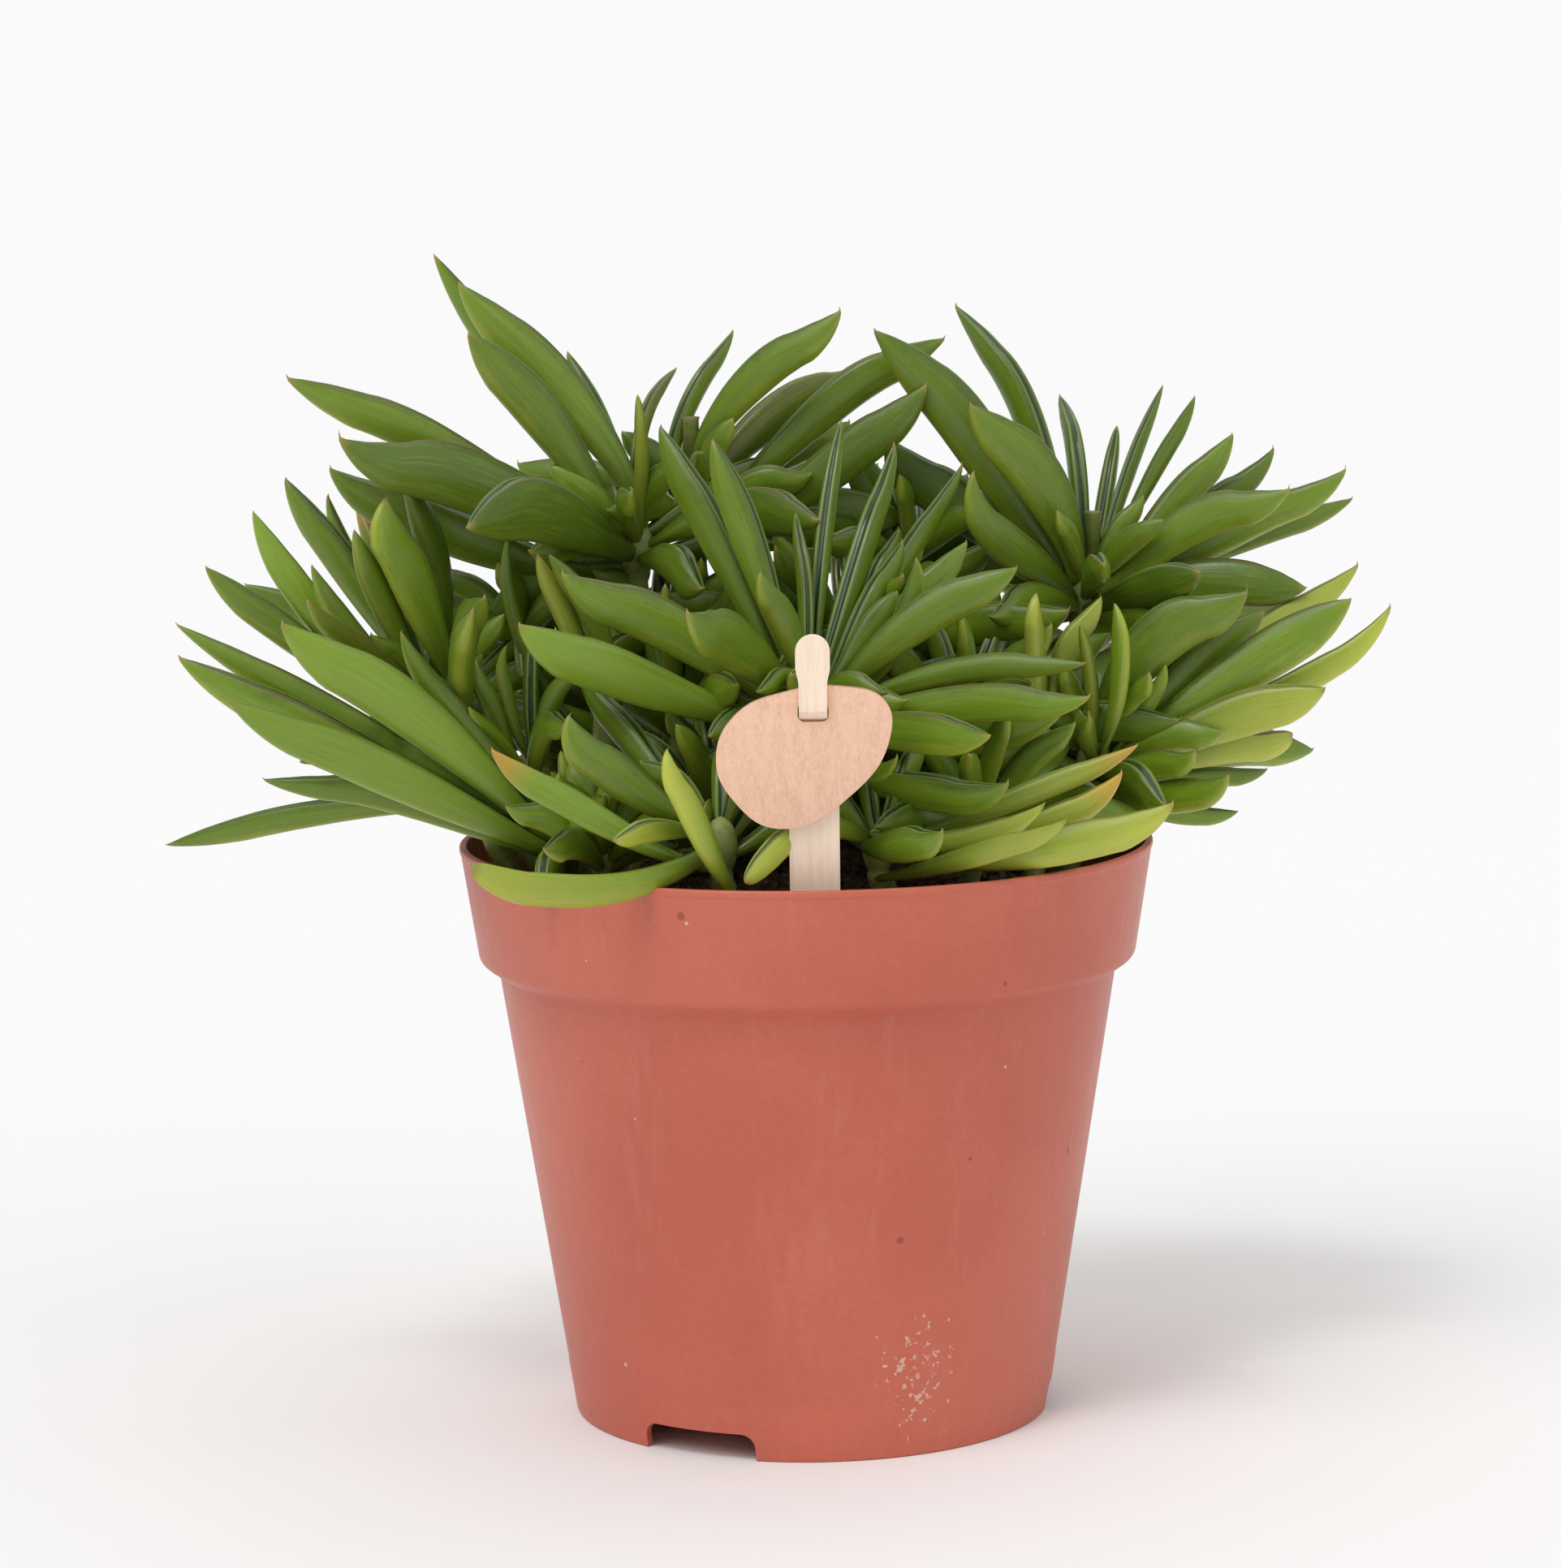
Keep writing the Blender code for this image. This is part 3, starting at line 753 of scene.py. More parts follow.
def stickHalfWidth(z):
    s = stick
    head = s["top"] - z
    if head < s["headHalf"]:
        return max(0.25, math.sqrt(max(0.0, s["headHalf"] ** 2 - (s["headHalf"] - head) ** 2)))
    if z > s["neckTop"] + s["neckRise"]:
        return s["headHalf"]
    if z > s["neckTop"]:
        rise = (z - s["neckTop"]) / s["neckRise"]
        return s["neckHalf"] + (s["headHalf"] - s["neckHalf"]) * rise * rise * (3 - 2 * rise)
    if z > s["neckFoot"]:
        return s["neckHalf"]
    if z > s["neckFoot"] - s["shoulder"]:
        return s["neckHalf"] + (s["halfWidth"] - s["neckHalf"]) * (s["neckFoot"] - z) / s["shoulder"]
    if z > s["foot"] + s["pointLength"]:
        return s["halfWidth"]
    return max(0.8, s["halfWidth"] * (z - s["foot"] + 1.2) / 8.2)


def stickBack(z):
    s = stick
    share = min(1.0, max(0.0, (z - s["slitLow"] + 0.4) / (s["slitHigh"] - s["slitLow"] - 0.4)))
    return s["forward"] * share * share * (3.0 - 2.0 * share)


def woodMaterial(name, colour, grain, grainScale, grainSize, pale=None):
    material, tree, shader, place = newMaterial(name, 0.72, 0.35)
    fibres, fine = mottle(tree, stretched(tree, place, grainScale), grainSize, 6 * grainSize, 0.5)
    colour = blend(tree, ramp(tree, fibres, 0.4, 0.7), paint(*colour), paint(*grain))
    if pale:
        # the cut edge is browner than the faces
        normal = put(tree, "ShaderNodeNewGeometry").outputs["Normal"]
        facing = put(tree, "ShaderNodeSeparateXYZ", {0: normal})
        cut = ramp(tree, calc(tree, "ABSOLUTE", facing.outputs[1]), 0.75, 0.35, 0.0, 0.8)
        colour = blend(tree, cut, colour, paint(*tag["cutColour"]))
        flecks = mottle(tree, stretched(tree, place, (1.0, 1.0, 0.3)), 1500.0, 3600.0, 0.6)[0]
        colour = blend(tree, ramp(tree, flecks, 0.5, 0.7, 0.0, 0.55), colour, paint(*pale))
        dots = specks(tree, place, 900.0, 0.2, 0.06)
        colour = blend(tree, times(tree, dots, 0.22), colour, paint(*tag["dotColour"]))
    tree.links.new(colour, shader.inputs["Base Color"])
    tree.links.new(ramp(tree, fine, 0.3, 0.7, 0.66, 0.8), shader.inputs["Roughness"])
    bumped(tree, shader, fibres, 0.2, 0.0002)
    return material


def makeStick():
    s = stick
    rise = s["top"] - s["headHalf"] - s["foot"]
    heights = [s["foot"] + i * rise / s["rows"] for i in range(s["rows"] + 1)]
    heights += [s["top"] - s["headHalf"] * (1 - math.sin(math.radians(a))) for a in range(8, 91, 6)]
    columns = s["columns"]
    shape = bmesh.new()
    rows = []
    for z in heights:
        half, back = stickHalfWidth(z), stickBack(z)
        rows.append(
            [shape.verts.new((half * (2 * i / (columns - 1) - 1), back, z)) for i in range(columns)]
        )
    for first, second in zip(rows, rows[1:]):
        for i in range(columns - 1):
            shape.faces.new((first[i], first[i + 1], second[i + 1], second[i]))
    bmesh.ops.scale(shape, vec=(mm, mm, mm), verts=shape.verts)
    bmesh.ops.transform(shape, matrix=leanTurn, verts=shape.verts)
    sheet = newPiece("stick_sheet", meshFrom(shape, "plant_stick"))
    thick = sheet.modifiers.new("thickness", "SOLIDIFY")
    thick.thickness = s["thickness"] * mm
    thick.offset = 0.0
    edge = sheet.modifiers.new("edge", "BEVEL")
    edge.width = s["edgeRound"] * mm
    edge.segments = 3
    edge.limit_method = "ANGLE"
    piece = frozen(sheet, "plant_stick")
    piece.data.shade_smooth()
    piece.data.set_sharp_from_angle(angle=math.radians(40))
    piece.data.materials.append(
        woodMaterial("birchStick", s["colour"], s["grainColour"], (3.2, 1.0, 0.1), 300.0)
    )
    settle(piece, "stick_wood", "tag_stick")


def makeTag():
    t, s = tag, stick
    curve = bpy.data.curves.new("tag_outline", "CURVE")
    curve.dimensions = "2D"
    curve.fill_mode = "BOTH"
    curve.extrude = t["thickness"] / 2 * mm
    curve.resolution_u = 16
    spline = curve.splines.new("BEZIER")
    spline.bezier_points.add(len(t["corners"]) - 1)
    for point, (x, z) in zip(spline.bezier_points, t["corners"]):
        point.co = (x * mm, z * mm, 0.0)
        point.handle_left_type = "AUTO"
        point.handle_right_type = "AUTO"
    spline.use_cyclic_u = True
    plate = frozen(newPiece("tag_outline", curve), "tag_plate_raw")
    stand = leanTurn @ Matrix.Translation((0.0, t["back"] * mm, 0.0)) @ Matrix.Rotation(math.pi / 2, 4, "X")
    shape = bmesh.new()
    shape.from_mesh(plate.data)
    bmesh.ops.remove_doubles(shape, verts=shape.verts, dist=0.000002)
    bmesh.ops.transform(shape, matrix=stand, verts=shape.verts)
    shape.to_mesh(plate.data)
    shape.free()
    slit = bmesh.new()
    bmesh.ops.create_cube(slit, size=1.0)
    size = (2 * s["neckHalf"] + 0.4, 6.0, s["slitHigh"] - s["slitLow"])
    bmesh.ops.scale(slit, vec=Vector(size) * mm, verts=slit.verts)
    alongY = [e for e in slit.edges if abs((e.verts[0].co - e.verts[1].co).y) > 1e-6]
    bmesh.ops.bevel(slit, geom=alongY, offset=t["slitRound"] * mm, segments=5, profile=0.5, affect="EDGES")
    middle = Vector((0.0, t["back"], (s["slitLow"] + s["slitHigh"]) / 2)) * mm
    bmesh.ops.transform(slit, matrix=leanTurn @ Matrix.Translation(middle), verts=slit.verts)
    plate = cutAway(plate, [meshFrom(slit, "slit")])
    edge = plate.modifiers.new("edge", "BEVEL")
    edge.width = t["edgeRound"] * mm
    edge.segments = 3
    edge.limit_method = "ANGLE"
    edge.angle_limit = math.radians(50)
    piece = frozen(plate, "blank_tag")
    piece.data.shade_smooth()
    piece.data.set_sharp_from_angle(angle=math.radians(40))
    piece.data.materials.clear()
    piece.data.materials.append(
        woodMaterial("fibreTag", t["colour"], t["fibreColour"], (1.0, 1.0, 0.3), 620.0, t["paleColour"])
    )
    settle(piece, "tag_wood", "tag_plate")


makeStick()
makeTag()
print("stick and blank tag made")


leaf = dict(
    stations=34,
    sides=24,
    thinnest=1.5,  # thickness of a leaf in millimetres, before its depth adds to it
    thicken=0.42,
    thickest=4.8,
    windowDepth=0.42,
    sweep=1.3,
    roll=13.0,
    sink=3.4,
    seed=11,
    depthCurve=[
        (0, 0.24), (0.08, 0.34), (0.2, 0.53), (0.34, 0.76), (0.48, 0.93), (0.6, 1.0),
        (0.72, 0.97), (0.83, 0.78), (0.92, 0.46), (0.97, 0.2), (1, 0.0),
    ],
    bluntCurve=[
        (0, 0.5), (0.1, 0.66), (0.3, 0.88), (0.6, 1.0), (0.85, 0.98), (0.94, 0.8), (0.985, 0.45), (1, 0.0),
    ],
    thickCurve=[
        (0, 0.5), (0.08, 0.62), (0.25, 0.86), (0.5, 1.0), (0.75, 0.9), (0.9, 0.6), (0.97, 0.3), (1, 0.0),
    ],
    hookCurve=[(0, 0.0), (0.55, 0.06), (0.74, 0.5), (0.86, 1.0), (0.95, 0.8), (1, 0.0)],
    # half of a section, from the window groove at the top, over its lip, down to the keel
    sectionWidth=[
        (0, 0.0), (0.08, 0.2), (0.15, 0.42), (0.26, 0.74), (0.42, 0.95), (0.58, 1.0),
        (0.78, 0.78), (0.92, 0.4), (1, 0.0),
    ],
    sectionHeight=[
        (0, 1.0), (0.15, 1.0), (0.26, 0.84), (0.42, 0.45), (0.58, 0.0),
        (0.78, -0.58), (0.92, -0.92), (1, -1.0),
    ],
    grooveCurve=[(0, 1.0), (0.06, 0.85), (0.12, 0.2), (0.17, 0.0), (1, 0.0)],
)


def leafTree():
    # each point of the host mesh becomes one folded leaf with a windowed upper edge
    tree, source, sink = newGroup(
        "foldedLeaf",
        "GeometryNodeTree",
        [
            ("Geometry", "NodeSocketGeometry", None),
            ("Stations", "NodeSocketInt", 34),
            ("Sides", "NodeSocketInt", 25),
            ("Window Depth", "NodeSocketFloat", 0.0004),
            ("Skin", "NodeSocketMaterial", None),
        ],
        [("Geometry", "NodeSocketGeometry")],
    )
    given = source.outputs

    def field(name, kind="FLOAT"):
        return put(tree, "GeometryNodeInputNamedAttribute", {"Name": name}, data_type=kind).outputs[0]

    def stored(geometry, name, value):
        node = put(
            tree,
            "GeometryNodeStoreNamedAttribute",
            {"Geometry": geometry, "Name": name, "Value": value},
            data_type="FLOAT",
            domain="POINT",
        )
        return node.outputs[0]

    grid = put(
        tree,
        "GeometryNodeMeshGrid",
        {"Size X": 1.0, "Size Y": 1.0, "Vertices X": given["Stations"], "Vertices Y": given["Sides"]},
    )
    split = put(tree, "ShaderNodeSeparateXYZ", {0: put(tree, "GeometryNodeInputPosition").outputs[0]})
    station = calc(tree, "ADD", split.outputs[0], 0.5)
    # stations crowd together towards the tip
    share = calc(tree, "SUBTRACT", 1.0, calc(tree, "POWER", calc(tree, "SUBTRACT", 1.0, station), 1.3))
    strip = stored(grid.outputs[0], "leafAlong", share)
    strip = stored(strip, "leafTurn", calc(tree, "ADD", split.outputs[1], 0.5))
    copies = put(tree, "GeometryNodeInstanceOnPoints", {"Points": given["Geometry"], "Instance": strip})
    strips = put(tree, "GeometryNodeRealizeInstances", {0: copies.outputs[0]}).outputs[0]

    along, turn = field("leafAlong"), field("leafTurn")
    offTop = calc(tree, "SUBTRACT", turn, 0.5)
    fromTop = times(tree, calc(tree, "ABSOLUTE", offTop), 2.0)
    strips = stored(strips, "leafFromTop", fromTop)
    depth, thickness = field("leafDepth"), field("leafThickness")
    # the taper moves the widest place towards the tip
    tapered = calc(tree, "POWER", along, field("leafTaper"))
    pointed, blunt = shaped(tree, tapered, leaf["depthCurve"]), shaped(tree, along, leaf["bluntCurve"])
    outline = fade(tree, field("leafBlunt"), pointed, blunt)
    deep = times(tree, depth, 0.5, outline)
    thickShare = shaped(tree, along, leaf["thickCurve"])
    thick = times(tree, thickness, 0.5, thickShare)
    width = times(tree, thick, shaped(tree, fromTop, leaf["sectionWidth"]), calc(tree, "SIGN", offTop))
    groove = times(tree, shaped(tree, fromTop, leaf["grooveCurve"]), given["Window Depth"])
    groove = times(tree, groove, times(tree, thickShare, ramp(tree, along, 0.04, 0.25)))
    section = shaped(tree, fromTop, leaf["sectionHeight"], -1.0)
    height = calc(tree, "SUBTRACT", times(tree, deep, section), groove)

    seat, tip = field("leafSeat", "FLOAT_VECTOR"), field("leafTip", "FLOAT_VECTOR")
    chord = vec(tree, "SUBTRACT", tip, seat)
    side = vec(tree, "NORMALIZE", vec(tree, "CROSS_PRODUCT", (0.0, 0.0, 1.0), chord))
    lift = vec(tree, "CROSS_PRODUCT", vec(tree, "NORMALIZE", chord), side)
    # a peak over 1 puts the top of the arch nearer the tip
    peak = field("leafPeak")
    late = calc(tree, "POWER", along, peak)
    lateSlope = calc(tree, "POWER", calc(tree, "MAXIMUM", along, 0.03), calc(tree, "SUBTRACT", peak, 1.0))
    arch = times(tree, late, calc(tree, "SUBTRACT", 1.0, late), 4.0)
    slope = calc(tree, "SUBTRACT", 4.0, times(tree, late, 8.0))
    slope = times(tree, slope, times(tree, lateSlope, peak))
    bow, sweep = field("leafBow"), field("leafSweep")
    lean = vec(tree, "ADD", scaled(tree, lift, bow), scaled(tree, side, sweep))
    middle = vec(tree, "ADD", seat, scaled(tree, chord, along))
    middle = vec(tree, "ADD", middle, scaled(tree, lean, arch))
    ahead = vec(tree, "NORMALIZE", vec(tree, "ADD", chord, scaled(tree, lean, slope)))
    across = vec(tree, "NORMALIZE", vec(tree, "CROSS_PRODUCT", ahead, side))
    beside = vec(tree, "CROSS_PRODUCT", across, ahead)
    roll = field("leafRoll")
    cosRoll, sinRoll = calc(tree, "COSINE", roll), calc(tree, "SINE", roll)
    wide = vec(
        tree, "ADD", scaled(tree, beside, cosRoll), scaled(tree, across, sinRoll)
    )
    high = vec(
        tree, "SUBTRACT", scaled(tree, across, cosRoll), scaled(tree, beside, sinRoll)
    )
    dip = times(tree, shaped(tree, along, leaf["hookCurve"]), field("leafHook"))
    offset = vec(
        tree,
        "ADD",
        scaled(tree, wide, width),
        scaled(tree, high, calc(tree, "SUBTRACT", height, dip)),
    )
    # the buried end is drawn in to a point, so that the leaf is closed
    offset = scaled(tree, offset, ramp(tree, along, 0.0, 0.01))
    placed = put(
        tree, "GeometryNodeSetPosition", {"Geometry": strips, "Position": vec(tree, "ADD", middle, offset)}
    )
    closed = put(tree, "GeometryNodeMergeByDistance", {"Geometry": placed.outputs[0], "Distance": 0.000008})
    smooth = put(tree, "GeometryNodeSetShadeSmooth", {0: closed.outputs[0]})
    real = put(tree, "GeometryNodeRealizeInstances", {0: smooth.outputs[0]})
    finished = put(tree, "GeometryNodeSetMaterial", {"Geometry": real.outputs[0], "Material": given["Skin"]})
    tree.links.new(finished.outputs[0], sink.inputs[0])
    return tree


leafColours = dict(
    window=(40, 62, 34),
    lip=(132, 154, 72),
    upper=(75, 100, 21),
    flank=(108, 135, 27),
    keel=(156, 168, 54),
    # a paler green for leaves marked light, partly their own tone and partly painted light
    paleGreenAndPaintedLight=(140, 172, 46),
    yellow=(184, 190, 72),
    dark=(64, 90, 22),
    brown=(104, 90, 40),
    margin=(88, 62, 40),
    tip=(150, 132, 60),
    ripe=(210, 150, 66),
    pore=(156, 178, 84),
)


def leafMaterial():
    material, tree, shader, place = newMaterial("waxyLeaf", 0.34, 0.5)
    c = {name: paint(*value) for name, value in leafColours.items()}
    along, fromTop = readMark(tree, "leafAlong"), readMark(tree, "leafFromTop")
    chance, yellow = readMark(tree, "leafChance"), readMark(tree, "leafYellow")
    dark, brown, ripe = readMark(tree, "leafDark"), readMark(tree, "leafBrown"), readMark(tree, "leafRipe")
    cloud, fine = mottle(tree, place, 75.0, 700.0, 0.3)
    drift = times(tree, calc(tree, "SUBTRACT", cloud, 0.5), 0.5)
    level = calc(tree, "ADD", fromTop, drift)
    colour = blend(tree, ramp(tree, level, 0.16, 0.5), c["upper"], c["flank"])
    colour = blend(tree, ramp(tree, level, 0.68, 1.0, 0.0, 0.85), colour, c["keel"])
    # leaves marked light take a paler green, partly their own tone and partly painted light on sides that
    # get little lamp light
    colour = blend(tree, times(tree, readMark(tree, "leafPaleGreenAndPaintedLight"), 0.8), colour, c["paleGreenAndPaintedLight"])
    # age turns a leaf yellow from its tip and keel
    ageing = ramp(tree, along, 0.25, 0.95, 0.1, 0.85)
    ageing = calc(tree, "ADD", ageing, ramp(tree, level, 0.4, 1.0, 0.0, 0.6))
    colour = blend(tree, calc(tree, "MULTIPLY", yellow, ageing, True), colour, c["yellow"])
    colour = blend(tree, times(tree, dark, 0.75), colour, c["dark"])
    rust = times(tree, brown, ramp(tree, level, 0.9, 0.1, 0.25, 0.9))
    colour = blend(tree, rust, colour, c["brown"])
    # faint lengthwise fibres under the skin
    lines = put(tree, "ShaderNodeCombineXYZ", {0: along, 1: fromTop, 2: chance}).outputs[0]
    lines = vec(tree, "MULTIPLY", lines, (5.0, 26.0, 40.0))
    fibres = put(tree, "ShaderNodeTexNoise", {"Vector": lines, "Scale": 1.0, "Detail": 3.0}).outputs[0]
    colour = blend(tree, ramp(tree, fibres, 0.45, 0.75, 0.0, 0.22), colour, c["keel"])
    colour = blend(tree, ramp(tree, fibres, 0.5, 0.25, 0.0, 0.2), colour, c["upper"])
    pores = specks(tree, place, 1500.0, 0.22, 0.25)
    colour = blend(tree, times(tree, pores, 0.16), colour, c["pore"])
    # the pale lip, the window between the lips, and the thin brown margin outside them
    lip = times(tree, ramp(tree, fromTop, 0.1, 0.15), ramp(tree, fromTop, 0.24, 0.17))
    colour = blend(tree, times(tree, lip, 0.6), colour, c["lip"])
    window = times(tree, ramp(tree, fromTop, 0.12, 0.07), ramp(tree, along, 0.02, 0.15))
    colour = blend(tree, times(tree, window, 0.9), colour, c["window"])
    edge = times(tree, ramp(tree, fromTop, 0.15, 0.19), ramp(tree, fromTop, 0.27, 0.21))
    patchy = ramp(tree, calc(tree, "ADD", chance, drift), 0.25, 0.8, 0.05, 0.75)
    edge = times(tree, edge, patchy, ramp(tree, along, 0.25, 0.6))
    colour = blend(tree, edge, colour, c["margin"])
    tipMask = ramp(tree, along, 0.955, 0.995, 0.0, 0.8)
    colour = blend(tree, tipMask, colour, c["tip"])
    colour = blend(tree, times(tree, ripe, ramp(tree, along, 0.78, 0.98)), colour, c["ripe"])
    # each leaf is a little lighter or darker than its neighbour, and darker where it joins the stem: that
    # darker base is painted shade
    shade = times(
        tree, ramp(tree, chance, 0.0, 1.0, 0.84, 1.12), ramp(tree, along, 0.0, 0.42, 0.62, 1.0)
    )
    grey = put(tree, "ShaderNodeCombineColor", {0: shade, 1: shade, 2: shade}).outputs[0]
    colour = blend(tree, 1.0, colour, grey, "MULTIPLY")
    tree.links.new(colour, shader.inputs["Base Color"])
    rough = ramp(tree, fine, 0.3, 0.7, 0.28, 0.4)
    rough = calc(tree, "SUBTRACT", rough, times(tree, window, 0.12))
    tree.links.new(rough, shader.inputs["Roughness"])
    shader.inputs["Subsurface Weight"].default_value = 0.12
    shader.inputs["Subsurface Radius"].default_value = (0.5, 1.0, 0.25)
    shader.inputs["Subsurface Scale"].default_value = 0.0015
    relief = calc(tree, "ADD", times(tree, fibres, 0.6), times(tree, fine, 0.4))
    bumped(tree, shader, relief, 0.14, 0.0003)
    return material


